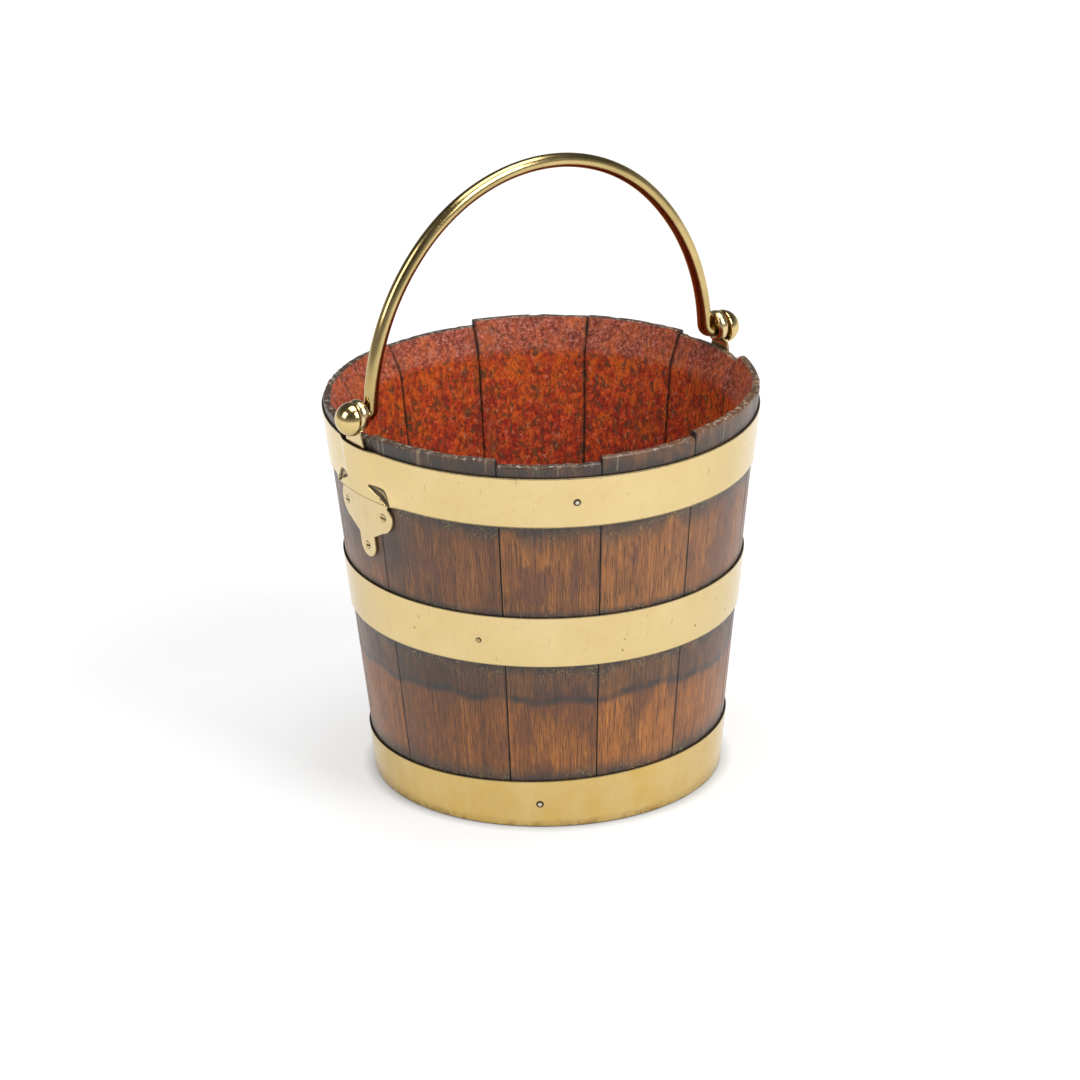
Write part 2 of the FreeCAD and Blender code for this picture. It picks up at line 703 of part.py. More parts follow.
def bail_arch():
    body = new_body("bail_arch")
    path = new_sketch(body, "bail_path", "XZ_Plane")
    haunch = angle_of("bail_haunch_angle")
    centre_rise = f"((sizes.bail_rise - {HALF_SPAN}) * sin({haunch}) / (cos({haunch}) + sin({haunch}) - 1))"
    crown_radius = f"(sizes.bail_rise - {centre_rise})"
    half_span = number_of(HALF_SPAN)
    rise = number_of(centre_rise)
    crown = number_of(crown_radius)
    turn = math.radians(number_of(haunch))
    side_shift = rise / math.tan(turn)
    side = half_span + side_shift
    arcs = [
        (-side_shift, 0, side, 0, turn),
        (0, rise, crown, turn, math.pi - turn),
        (side_shift, 0, side, math.pi - turn, math.pi),
    ]
    for across, up, radius, start, end in arcs:
        circle = Part.Circle(FreeCAD.Vector(across, up, 0), FreeCAD.Vector(0, 0, 1), radius)
        path.addGeometry(Part.ArcOfCircle(circle, start, end), False)
    ties = [
        ("PointOnObject", 0, 3, -1),
        ("PointOnObject", 0, 1, -1),
        ("PointOnObject", 1, 3, -2),
        ("PointOnObject", 2, 3, -1),
        ("Tangent", 0, 2, 1, 1),
        ("Tangent", 1, 2, 2, 1),
        ("Symmetric", 0, 1, 2, 2, -2),
    ]
    for tie in ties:
        path.addConstraint(Sketcher.Constraint(*tie))
    measure(path, "half_span", HALF_SPAN, "DistanceX", -1, 1, 0, 1)
    measure(path, "crown_centre", centre_rise, "DistanceY", -1, 1, 1, 3)
    measure(path, "crown_radius", crown_radius, "Radius", 1)
    section = new_sketch(body, "bail_section", "XY_Plane")
    bar_radius = number_of("sizes.bar_diameter / 2")
    ring = Part.Circle(FreeCAD.Vector(half_span, 0, 0), FreeCAD.Vector(0, 0, 1), bar_radius)
    section.addGeometry(ring, False)
    section.addConstraint(Sketcher.Constraint("PointOnObject", 0, 3, -1))
    measure(section, "half_span", HALF_SPAN, "DistanceX", -1, 1, 0, 3)
    measure(section, "bar_diameter", size("bar_diameter"), "Diameter", 0)
    doc.recompute()
    pipe = body.newObject("PartDesign::AdditivePipe", "bail_bar")
    pipe.Profile = section
    pipe.Spine = (path, ["Edge1", "Edge2", "Edge3"])
    place(body, z=HINGE_HEIGHT)
    return body


def make_bail():
    pieces = [bail_arch()]
    pin_length = f"{CAP_BASE} + sizes.cap_bore_depth - {HALF_SPAN}"
    for side, direction in (("left", -1), ("right", 1)):
        foot = doc.addObject("Part::Sphere", f"bail_foot_{side}")
        bind(foot, Radius="sizes.bar_diameter / 2", Angle1="-90 deg", Angle2="0 deg")
        place(foot, x=f"{direction} * {HALF_SPAN}", z=HINGE_HEIGHT)
        pin = cylinder(
            f"bail_pin_{side}", "sizes.pin_diameter / 2", pin_length,
            x=f"{direction} * {HALF_SPAN}", z=HINGE_HEIGHT, pitch=f"{direction} * 90 deg",
        )
        pieces += [foot, pin]
    subpart(fuse("bail_solid", *pieces), "bail")


def make_caps():
    for side, direction in (("left", -1), ("right", 1)):
        placing = {"x": f"{direction} * {CAP_BASE}", "z": HINGE_HEIGHT, "pitch": f"{direction} * 90 deg"}
        dome = doc.addObject("Part::Sphere", f"cap_dome_{side}")
        bind(dome, Radius=size("cap_radius"), Angle1="0 deg", Angle2="90 deg")
        place(dome, **placing)
        bore = cylinder(
            f"cap_bore_{side}", "sizes.pin_diameter / 2 + sizes.driven_fit",
            "sizes.cap_bore_depth + sizes.driven_fit", **placing,
        )
        subpart(cut(f"cap_{side}", dome, bore), f"bail_cap_{side}")


def check_parts():
    for thing in doc.Objects:
        if "Invalid" in thing.State or "Error" in thing.State:
            raise RuntimeError(f"{thing.Name} did not build: {thing.State}")
    for thing in parts:
        if thing.Shape.isNull() or not thing.Shape.isValid():
            raise RuntimeError(f"{thing.Label} has no valid shape")


fill_sheet()
EAR_SIDES = {"left": "180 deg", "right": "0 deg"}
hoop_nail_holes = {name: make_hoop_nails(name) for name in NAIL_ANGLES}
lap_rivet_holes = {name: make_lap_rivets(name) for name in NAIL_ANGLES}
ear_screw_holes = {side: make_ear_screws(side, yaw) for side, yaw in EAR_SIDES.items()}
wood_holes = [hole for holes in hoop_nail_holes.values() for hole in holes]
for ear_side, ear_yaw in EAR_SIDES.items():
    make_ear(ear_side, ear_yaw, ear_screw_holes[ear_side])
    wood_holes.append(group(f"wood_{ear_side}_screw_holes", [ear_screw_holes[ear_side]], ear_yaw))
make_staves(group("wood_holes", wood_holes))
make_base()
make_hoops(hoop_nail_holes, lap_rivet_holes)
make_bail()
make_caps()
doc.recompute()
check_parts()
for part in parts:
    part.Shape.exportStep(f"parts/{part.Label}.step")
    print(part.Label, len(part.Shape.Solids), round(part.Shape.Volume))
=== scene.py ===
import math

import bmesh
import bpy
from mathutils import Matrix, Vector, noise


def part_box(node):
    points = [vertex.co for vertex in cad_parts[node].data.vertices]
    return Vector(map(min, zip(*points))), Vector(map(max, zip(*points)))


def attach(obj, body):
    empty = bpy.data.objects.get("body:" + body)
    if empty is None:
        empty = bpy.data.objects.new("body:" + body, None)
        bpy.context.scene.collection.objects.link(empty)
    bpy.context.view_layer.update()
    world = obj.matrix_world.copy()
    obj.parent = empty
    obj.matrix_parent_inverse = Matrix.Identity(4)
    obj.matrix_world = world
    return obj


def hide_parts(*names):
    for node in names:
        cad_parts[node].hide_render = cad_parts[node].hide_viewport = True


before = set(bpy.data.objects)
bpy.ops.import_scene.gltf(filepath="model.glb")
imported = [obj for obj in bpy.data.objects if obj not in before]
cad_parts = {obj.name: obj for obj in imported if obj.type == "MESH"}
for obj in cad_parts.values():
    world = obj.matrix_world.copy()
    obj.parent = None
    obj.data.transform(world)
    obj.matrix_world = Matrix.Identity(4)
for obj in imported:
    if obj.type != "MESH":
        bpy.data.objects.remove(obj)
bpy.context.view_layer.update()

# Peat bucket, visual model: oak staves, brass hoops, cast ears and a round swing handle (the bail).
# Metres, +Z up, origin on the floor under the middle of the foot; the bail's hinge runs along X.

# Staves.
STAVES = [f"stave_{number:02d}" for number in range(1, 13)]
BASE_RADIUS = 0.1434
RIM_RADIUS = 0.180
RIM_HEIGHT = 0.331
TAPER = (RIM_RADIUS - BASE_RADIUS) / RIM_HEIGHT
LEAN = math.atan(TAPER)
WALL = 0.016
RIM_THICKNESS = 0.007
BEVEL_FOOT = 0.305
GROOVE_LOW = 0.018
GROOVE_HIGH = 0.025
GROOVE_DEPTH = 0.005
FOOT_BEVEL = 0.005
FOOT_EASE = 0.0015
RIM_OUTER_EASE = 0.0024
RIM_INNER_EASE = 0.0012
SEAM_EASE = 0.0011
SEAM_EASE_INSIDE = 0.0022
SEAM_PLACES = (0, 0.0003, 0.0007, 0.0012, 0.0022)
STAVE_COLUMNS = 56
STAVE_SWELL = 0.00022
SWELL_PITCH = 24
STAVE_TONES = (0.45, 0.55, 0.40, 0.60, 0.50, 0.42, 0.30, 0.52, 0.66, 0.50, 0.44, 0.58)
GRAIN_SHIFT = 0.37

# Wear and dirt on the staves.
KNOCK_PITCH = 120
KNOCK_LEVEL = 0.15
KNOCK_DEPTH = 0.0017
DIP_PITCH = 38
DIP_DEPTH = 0.0011
WEAR_SHIFT = 3.7
RIM_WEAR_REACH = 0.007
RIM_CHIP_REACH = 0.0032
BEVEL_BLEND = 0.006
SEAM_DARK = 0.0011
SEAM_DARK_INSIDE = 0.00253
GRIME_BELOW = 0.021
GRIME_WANDER = 0.9
GRIME_ABOVE = {"top_hoop": 0.045, "middle_hoop": 0.008, "base_hoop": 0.017}
SMUDGE_HALF_WIDTH = 0.034
SMUDGE_FOOT = 0.236
SMUDGE_REACH = 0.036
SMUDGE_SHARE = 0.72
STAIN_DROP = 0.031
STAIN_WANDER = 0.007
STAIN_REACH = 0.0066
STAIN_BAND = 0.64

# Heights between which a finish changes.
GOLDEN_OAK = (0.095, 0.125)
POLISH_DRIPS = (0.3215, 0.3225)
# Painted shade deep inside the bucket and painted light high on its inside wall.
SHADED_DEEP_INSIDE = (0.12, 0.27)
LIT_HIGH_INSIDE = (0.24, 0.30)
BASE_HOOP_FLOOR_REFLECTION = (0.05, 0.08)
FOOT_SOIL = (0.0015, 0.008)

# Base boards.
BOARD_GAP = 0.0004
BOARD_END = 0.998
BOARD_EASE = 0.0009
BOARD_EASE_STEP = 0.0004
BOARD_STEPS = 16
BOARD_COLUMNS = 32
BOARD_WARP = 0.0003
BOARD_WARP_PITCH = 60
BOARD_GRAIN_SHIFT = 0.53

# Hoops: edges at the hoop's middle line, tilt in degrees and the place of the lapped joint.
HOOPS = {
    "top_hoop": dict(low=0.276, high=0.3205, low_tilt=-0.86, high_tilt=-0.86, lap=46, rows=58),
    "middle_hoop": dict(low=0.1495, high=0.1945, low_tilt=-0.82, high_tilt=-0.82, lap=38, rows=18),
    "base_hoop": dict(low=0.0005, high=0.0433, low_tilt=0, high_tilt=1.5, lap=54, rows=18),
}
TILT_HEADING = math.radians(-33.6)
HOOP_THICKNESS = 0.0015
HOOP_GAP = 0.0001
HOOP_WAVE = 0.00018
HOOP_WAVE_PITCH = 21
HOOP_EDGE_DARKENING = 0.0010
LAP_LENGTH = 0.036
JOGGLE_LENGTH = 0.010
STRIP_EDGE = 0.0004
STRIP_STEP = math.radians(1.0)
STRIP_STEP_BY_EAR = math.radians(0.25)
EAR_HALF_TURN = math.radians(17)

# Ears, at +X and -X.
SIDES = {"right": 1, "left": -1}
PLATE_RISE = 0.0033
STRAP_HALF_WIDTH = 0.013
PLATE_EDGE = (
    Vector((STRAP_HALF_WIDTH, 0.345)),
    Vector((STRAP_HALF_WIDTH, 0.291)),
    Vector((0.033, 0.2775)),
    Vector((0.0363, 0.265)),
)
DRESS_START = 0.001
DRESS_REACH = 0.015
DRESS_LIMIT = 0.07
MOUTH_DEPTH = 0.006
MOUTH_RISE = 0.0005
CREASE = (Vector((0.0165, 0.2910)), Vector((0.0292, 0.2876)), Vector((0.0358, 0.2796)))
CREASE_REACH = 0.0048
CREASE_TIP = 0.12
CREASE_SINK = 1.1
CREASE_STEEPNESS = 1.4
NECK_FOOT = 0.323
NECK_TAPER = 0.26
EYE_HEIGHT = 0.347
EYE_SEAT = 0.3368
EYE_MIDDLE = 0.17775
EYE_HALF_THICKNESS = 0.0046
EYE_MEAN_RADIUS = 0.0101
EYE_HALF_WIDTH = 0.0029
CASTING_VOXEL = 0.0004
WEAR_PASSES = 17
MERGE_GAP = 0.00001

# Bail.
HINGE_HEIGHT = 0.34495
BAIL_RISE = 0.180
HALF_SPAN = 0.165
HAUNCH = math.radians(45)
BAR_DIAMETER = 0.0123
BAR_ROUND_STEPS = 40
BAR_UNEVENNESS = 0.0002
BAR_DENT_PITCH = 26.0
PIN_DIAMETER = 0.010
PIN_TAPER_START = 0.75
FOOT_BEND = 0.0064
PIN_END = 0.190
CAP_BASE = 0.1835
CAP_RADIUS = 0.014
CAP_EASE = 0.0007
CAP_LIP = 0.0001
CAP_ROUND_STEPS = 72
CAP_DOME_STEPS = 24

# Heads of the fasteners, with sections as radius and rise in shares of the head's radius or rise.
NAIL_HEAD_HEIGHT = 0.0009
NAIL_HEAD_DIAMETER = 0.0048
NAIL_RING = (0.0029, 0.0036)
NAIL_SEED = 3
RIVET_HEAD_HEIGHT = 0.0012
RIVET_HEAD_DIAMETER = 0.006
RIVET_SEED = 11
DOME_SECTION = (
    (0, 1), (0.3, 0.97), (0.55, 0.86), (0.76, 0.66), (0.90, 0.40),
    (0.98, 0.14), (1.0, -0.15), (0.9, -0.5), (0, -0.5),
)
DOME_ROUND_STEPS = 28
SCREW_HEAD_DIAMETER = 0.0078
SCREW_SECTION = (
    (0, 0.05), (0.5, 0.045), (0.76, 0.03), (0.85, 0.0),
    (0.92, -0.06), (0.93, -0.14), (0.62, -0.5), (0, -0.5),
)
SCREW_ROUND_STEPS = 48
SCREW_DARK_BELOW = -0.02
SCREW_GREATEST_TURN = 0.3
SCREW_SEED = 23
SLOT_HALF_WIDTH = 0.19
SLOT_HALF_LENGTH = 1.2
SLOT_FLOOR = -0.22
SLOT_TOP = 0.3

# Studio. Lights: right of the part, toward the camera, up, width, height and watts.
FLOOR_HALF_SIZE = 12
# The floor's glow, cut near the bucket by a painted contact shadow and painted shade.
FLOOR_GLOW = (0.4, 1.9, 0.64, 0.95)
FLOOR_CONTACT_SHADOW = (0.142, 0.156, 0.35, 1)
FLOOR_SHADE = (0.145, 0.225, 0.95, 1)
LIGHTS = {
    "overhead": (0.3, -0.2, 2.6, 1.4, 1.8, 42),
    "key_right": (1.6, 1.4, 2.1, 1.2, 1.5, 62),
    "fill_left": (-1.9, 1.1, 1.8, 1.1, 1.4, 26),
}
LIGHT_AIM = Vector((0, 0, 0.2))
SKY = ((0.02, (0.42, 0.42, 0.43)), (0.45, (0.08, 0.08, 0.084)))

# Camera, as found from the photograph.
CAMERA_AZIMUTH = math.radians(-33.58)
CAMERA_REACH = 4.62542
CAMERA_HEIGHT = 2.05796
CAMERA_YAW = math.radians(-0.04)
CAMERA_PITCH = math.radians(21.929)
CAMERA_ROLL = math.radians(-1.092)
CAMERA_LENS = 200
CAMERA_SENSOR = 36
CAMERA_FAR = 60
TO_CAMERA = Vector((math.sin(CAMERA_AZIMUTH), -math.cos(CAMERA_AZIMUTH), 0))
TO_RIGHT = Vector((math.cos(CAMERA_AZIMUTH), math.sin(CAMERA_AZIMUTH), 0))


# Shared shapes.

def outer_radius(height):
    return BASE_RADIUS + TAPER * height


def hoop_edge(hoop, edge, turn):
    radius = outer_radius(hoop[edge])
    tilt = math.radians(hoop[f"{edge}_tilt"])
    return hoop[edge] + math.tan(tilt) * radius * math.cos(turn - TILT_HEADING)


def smooth(value):
    value = min(max(value, 0.0), 1.0)
    return value * value * (3 - 2 * value)


def fade(gap, reach):
    """One where there is no gap, falling to zero at this reach."""
    return smooth(1 - gap / reach)


def spread(first, last, steps):
    """Values from the first to the last in so many even steps, with both ends."""
    return [first + (last - first) * step / steps for step in range(steps + 1)]


def around(radius, turn, height):
    return Vector((radius * math.cos(turn), radius * math.sin(turn), height))


def from_ear(turn, height):
    """Distance on the outside of the staves from the middle of the nearer ear."""
    return outer_radius(height) * abs(math.sin(turn))


def ripple(place):
    """Noise about one half."""
    return 0.5 + 0.5 * noise.noise(place)


def turn_noise(pitch, turn, level):
    """Noise about zero that closes on itself round the bucket."""
    return noise.noise(around(pitch, turn, level))


def polar_span(node):
    points = [vertex.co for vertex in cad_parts[node].data.vertices]
    middle = math.atan2(sum(point.y for point in points), sum(point.x for point in points))
    turns = [(math.atan2(point.y, point.x) - middle + math.pi) % math.tau - math.pi for point in points]
    return middle + min(turns), middle + max(turns)


def merged_solid(node):
    """Editable copy of a node's mesh, with the points that coincide merged."""
    shape = bmesh.new()
    shape.from_mesh(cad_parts[node].data)
    bmesh.ops.remove_doubles(shape, verts=shape.verts, dist=MERGE_GAP)
    return shape


def new_object(name, data):
    piece = bpy.data.objects.new(name, data)
    bpy.context.scene.collection.objects.link(piece)
    return piece


def mesh_object(name, points, faces, finishes, finish_of_face=None):
    mesh = bpy.data.meshes.new(name)
    mesh.from_pydata(points, [], faces)
    for finish in finishes:
        mesh.materials.append(finish)
    if finish_of_face:
        mesh.polygons.foreach_set("material_index", finish_of_face)
    mesh.polygons.foreach_set("use_smooth", [True] * len(mesh.polygons))
    mesh.set_sharp_from_angle(angle=math.radians(50))
    mesh.update()
    return new_object(name, mesh)


def strip_faces(columns, rows):
    """Faces of a closed section of so many rows carried along the columns, and the rings at both ends."""
    faces = []
    for column in range(columns - 1):
        first, second = column * rows, (column + 1) * rows
        for row in range(rows):
            following = (row + 1) % rows
            faces.append((first + row, second + row, second + following, first + following))
    last = (columns - 1) * rows
    return faces, tuple(range(rows)), tuple(range(last, last + rows))


def add_values(piece, name, values):
    layer = piece.data.attributes.new(name, "FLOAT", "POINT")
    layer.data.foreach_set("value", values)


def add_vectors(piece, name, values):
    layer = piece.data.attributes.new(name, "FLOAT_VECTOR", "POINT")
    layer.data.foreach_set("vector", [number for value in values for number in value])


def outward(piece):
    shape = bmesh.new()
    shape.from_mesh(piece.data)
    bmesh.ops.recalc_face_normals(shape, faces=shape.faces)
    shape.to_mesh(piece.data)
    shape.free()


def hand_over(piece, body, slot, *nodes):
    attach(piece, body)
    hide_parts(*nodes)


def bake(piece):
    """Gives a piece the plain mesh that its modifiers make."""
    graph = bpy.context.evaluated_depsgraph_get()
    mesh = bpy.data.meshes.new_from_object(piece.evaluated_get(graph), depsgraph=graph)
    piece.modifiers.clear()
    old = piece.data
    piece.data = mesh
    bpy.data.meshes.remove(old)
    mesh.name = piece.name


# Node trees.

def feed(tree, socket, value):
    if isinstance(value, bpy.types.NodeSocket):
        tree.links.new(value, socket)
    else:
        socket.default_value = value


def add_node(tree, kind, inputs=None, output=0, **settings):
    """Adds a node with these inputs and settings, and gives one of its outputs."""
    made = tree.nodes.new(kind)
    for name, value in settings.items():
        setattr(made, name, value)
    for name, value in (inputs or {}).items():
        feed(tree, made.inputs[name], value)
    return made.outputs[output]


def add_ramp(tree, value, stops):
    colour = add_node(tree, "ShaderNodeValToRGB", {"Fac": value})
    ends = colour.node.color_ramp.elements
    while len(ends) < len(stops):
        ends.new(0.5)
    for end, (position, tint) in zip(ends, stops):
        end.position = position
        end.color = (*tint, 1)
    return colour


class Finish:
    """A material with short ways to add the nodes that its surface needs."""

    def __init__(self, name):
        self.material = bpy.data.materials.new(name)
        self.material.use_nodes = True
        self.tree = self.material.node_tree
        self.surface = self.tree.nodes["Principled BSDF"]
        self.place = self.node("ShaderNodeTexCoord", output="Object")

    def node(self, kind, inputs=None, output=0, **settings):
        return add_node(self.tree, kind, inputs, output, **settings)

    def set(self, **values):
        for name, value in values.items():
            feed(self.tree, self.surface.inputs[name.replace("_", " ")], value)

    def value(self, name):
        return self.node("ShaderNodeAttribute", output="Fac", attribute_name=name)

    def vector(self, name):
        return self.node("ShaderNodeAttribute", output="Vector", attribute_name=name)

    def height(self):
        return self.node("ShaderNodeSeparateXYZ", {"Vector": self.place}, "Z")

    def gap(self, spot):
        return self.node("ShaderNodeVectorMath", {0: self.place, 1: spot}, "Value", operation="DISTANCE")

    def noise(self, vector, scale, detail=4, roughness=0.55, distortion=0):
        inputs = {"Vector": vector, "Scale": scale, "Detail": detail, "Roughness": roughness}
        inputs["Distortion"] = distortion
        return self.node("ShaderNodeTexNoise", inputs)

    def grained(self, vector, scales, detail=4, roughness=0.55, distortion=0):
        """Noise with a scale of its own along each axis."""
        stretched = self.node("ShaderNodeMapping", {"Vector": vector, "Scale": scales})
        return self.noise(stretched, 1, detail, roughness, distortion)

    def cells(self, vector, scale):
        return self.node("ShaderNodeTexVoronoi", {"Vector": vector, "Scale": scale})

    def span(self, value, low, high, to_low=0, to_high=1):
        inputs = {"Value": value, "From Min": low, "From Max": high, "To Min": to_low, "To Max": to_high}
        return self.node("ShaderNodeMapRange", inputs, clamp=True)

    def calculate(self, operation, first, second):
        return self.node("ShaderNodeMath", {0: first, 1: second}, operation=operation)

    def times(self, first, second):
        return self.calculate("MULTIPLY", first, second)

    def plus(self, first, second):
        return self.calculate("ADD", first, second)

    def weighed(self, *parts):
        """Sum of values, each times its weight."""
        total = self.times(*parts[0])
        for part in parts[1:]:
            total = self.plus(total, self.times(*part))
        return total

    def ramp(self, value, *stops):
        return add_ramp(self.tree, value, stops)

    def mix(self, share, first, second, blend="MIX"):
        second = second if isinstance(second, bpy.types.NodeSocket) else (*second, 1)
        inputs = {0: share, 6: first, 7: second}
        return self.node("ShaderNodeMix", inputs, 2, data_type="RGBA", blend_type=blend)

    def layers(self, colour, *rows):
        """Lays tints over a colour: each row has a value, its span, the shares at both ends and a tint."""
        for value, low, high, low_share, high_share, tint in rows:
            colour = self.mix(self.span(value, low, high, low_share, high_share), colour, tint)
        return colour

    def bump(self, height, strength, distance, below=None):
        inputs = {"Height": height, "Strength": strength, "Distance": distance}
        if below:
            inputs["Normal"] = below
        return self.node("ShaderNodeBump", inputs)


# Finishes.

def oak_finish():
    """Lacquered oak: long fibres, open pores, grime beside the hoops and a water stain."""
    oak = Finish("lacquered_oak")
    grain = oak.vector("grain")
    height = oak.height()
    tone = oak.value("tone")
    fibres = oak.grained(grain, (640, 15, 60), 6, 0.8, 0.12)
    flecks = oak.grained(grain, (880, 150, 60), 3, 0.7, 0.6)
    streaks = oak.grained(grain, (330, 6, 40), 4, 0.6, 0.4)
    bands = oak.grained(grain, (48, 5, 40), 3, 0.5, 0.8)
    pores = oak.grained(grain, (1250, 60, 80), 1, 0.5)
    blotches = oak.grained(grain, (26, 17, 30), 5, 0.65)
    filled = oak.grained(grain, (24, 15, 30), 3, 0.55, 0.3)
    smears = oak.grained(oak.place, (70, 70, 45), 5, 0.62)
    wood = oak.ramp(
        oak.weighed((fibres, 0.52), (streaks, 0.22), (bands, 0.10), (flecks, 0.16)),
        (0.42, (0.090, 0.029, 0.005)),
        (0.47, (0.185, 0.061, 0.010)),
        (0.53, (0.310, 0.107, 0.017)),
        (0.59, (0.450, 0.178, 0.034)),
    )
    wood = oak.layers(
        wood,
        (tone, 0.2, 0.6, 0.6, 0, (0.080, 0.028, 0.011)),
        (tone, 0.5, 0.8, 0, 0.5, (0.360, 0.135, 0.032)),
        (blotches, 0.46, 0.66, 0, 0.6, (0.080, 0.027, 0.009)),
        (filled, 0.555, 0.595, 0, 0.75, (0.130, 0.043, 0.018)),
        (pores, 0.55, 0.62, 0, 0.65, (0.022, 0.007, 0.003)),
    )
    wood = oak.mix(oak.span(height, *GOLDEN_OAK, 1, 0), wood, (1.20, 1.10, 0.65), "MULTIPLY")
    dirt_and_shade = oak.times(oak.value("grime"), oak.span(smears, 0.28, 0.55, 0.55, 1))
    wood = oak.mix(oak.times(dirt_and_shade, 0.94), wood, (0.020, 0.018, 0.016))
    specks = oak.span(oak.grained(oak.place, (760, 760, 532), 3), 0.56, 0.66)
    dusted = oak.span(oak.noise(oak.place, 55, 3), 0.40, 0.58)
    polish = oak.times(specks, oak.times(oak.value("polish"), dusted))
    wood = oak.mix(polish, wood, (0.27, 0.23, 0.095))
    runs = oak.grained(grain, (300, 14, 30), 3, 0.6)
    drips = oak.times(oak.span(runs, 0.62, 0.66, 0, 0.3), oak.span(height, *POLISH_DRIPS))
    wood = oak.mix(drips, wood, (0.36, 0.31, 0.18))
    chips = oak.span(oak.noise(oak.place, 260, 5, 0.7), 0.55, 0.60, 0, 0.85)
    wood = oak.mix(oak.times(oak.value("rim"), chips), wood, (0.38, 0.31, 0.23))
    wood = oak.mix(oak.value("seam"), wood, (0.010, 0.006, 0.004))
    oak.set(
        Base_Color=wood,
        Roughness=oak.span(oak.weighed((smears, 0.5), (fibres, 0.5)), 0.3, 0.7, 0.28, 0.52),
        Normal=oak.bump(pores, 0.22, 0.0004, oak.bump(fibres, 0.40, 0.0006)),
        Coat_Weight=0.13,
        Coat_Roughness=0.28,
    )
    return oak.material


def paint_finish():
    """Old red paint inside: rubbed, flaked and stained, pinker on the bevel below the rim, with painted
    shade deep inside and painted light high on the wall.
    """
    paint = Finish("worn_red_paint")
    grain = paint.vector("grain")
    height = paint.height()
    speckle = paint.grained(grain, (250, 190, 50), 8, 0.86)
    patches = paint.grained(grain, (84, 60, 40), 7, 0.74, 0.4)
    flakes = paint.grained(grain, (520, 300, 40), 4, 0.65)
    runs = paint.grained(grain, (110, 7, 20), 4, 0.6)
    scabs = paint.grained(grain, (170, 120, 40), 6, 0.66, 0.6)
    pale = paint.grained(grain, (240, 190, 70), 4, 0.66, 0.6)
    tint = paint.ramp(
        patches,
        (0.40, (0.640, 0.110, 0.007)),
        (0.47, (0.550, 0.058, 0.006)),
        (0.53, (0.470, 0.030, 0.008)),
        (0.60, (0.340, 0.018, 0.009)),
    )
    tint = paint.layers(
        tint,
        (speckle, 0.44, 0.50, 0.92, 0, (0.070, 0.012, 0.005)),
        (speckle, 0.53, 0.60, 0, 0.8, (0.880, 0.165, 0.035)),
        # Painted shade: darker deeper inside the bucket.
        (height, *SHADED_DEEP_INSIDE, 0.45, 0, (0.260, 0.036, 0.012)),
    )
    # Painted light: brighter orange high on the inside wall, in patches.
    painted_light = paint.times(paint.span(height, *LIT_HIGH_INSIDE, 0, 0.5), paint.span(patches, 0.44, 0.56, 1, 0.2))
    tint = paint.layers(
        paint.mix(painted_light, tint, (0.700, 0.140, 0.010)),
        (scabs, 0.545, 0.59, 0, 0.85, (0.085, 0.042, 0.017)),
        (pale, 0.60, 0.65, 0, 0.6, (0.600, 0.240, 0.140)),
        (runs, 0.56, 0.68, 0, 0.45, (0.130, 0.034, 0.012)),
        (flakes, 0.58, 0.66, 0, 0.85, (0.050, 0.024, 0.012)),
    )
    grit = paint.ramp(
        paint.noise(paint.place, 300, 6, 0.85),
        (0.43, (0.055, 0.017, 0.011)),
        (0.50, (0.270, 0.045, 0.024)),
        (0.60, (0.500, 0.210, 0.140)),
    )
    rubbed = paint.times(paint.value("rim"), paint.span(patches, 0.42, 0.58, 0.5, 0.9))
    tint = paint.mix(rubbed, tint, grit)
    joint = paint.times(paint.value("seam"), paint.span(scabs, 0.42, 0.52, 0.35, 1))
    tint = paint.mix(joint, tint, (0.055, 0.026, 0.013))
    paint.set(
        Base_Color=tint,
        Roughness=paint.span(patches, 0.35, 0.65, 0.50, 0.72),
        Normal=paint.bump(flakes, 0.5, 0.0006, paint.bump(speckle, 0.6, 0.0012)),
        Specular_IOR_Level=0.3,
    )
    return paint.material


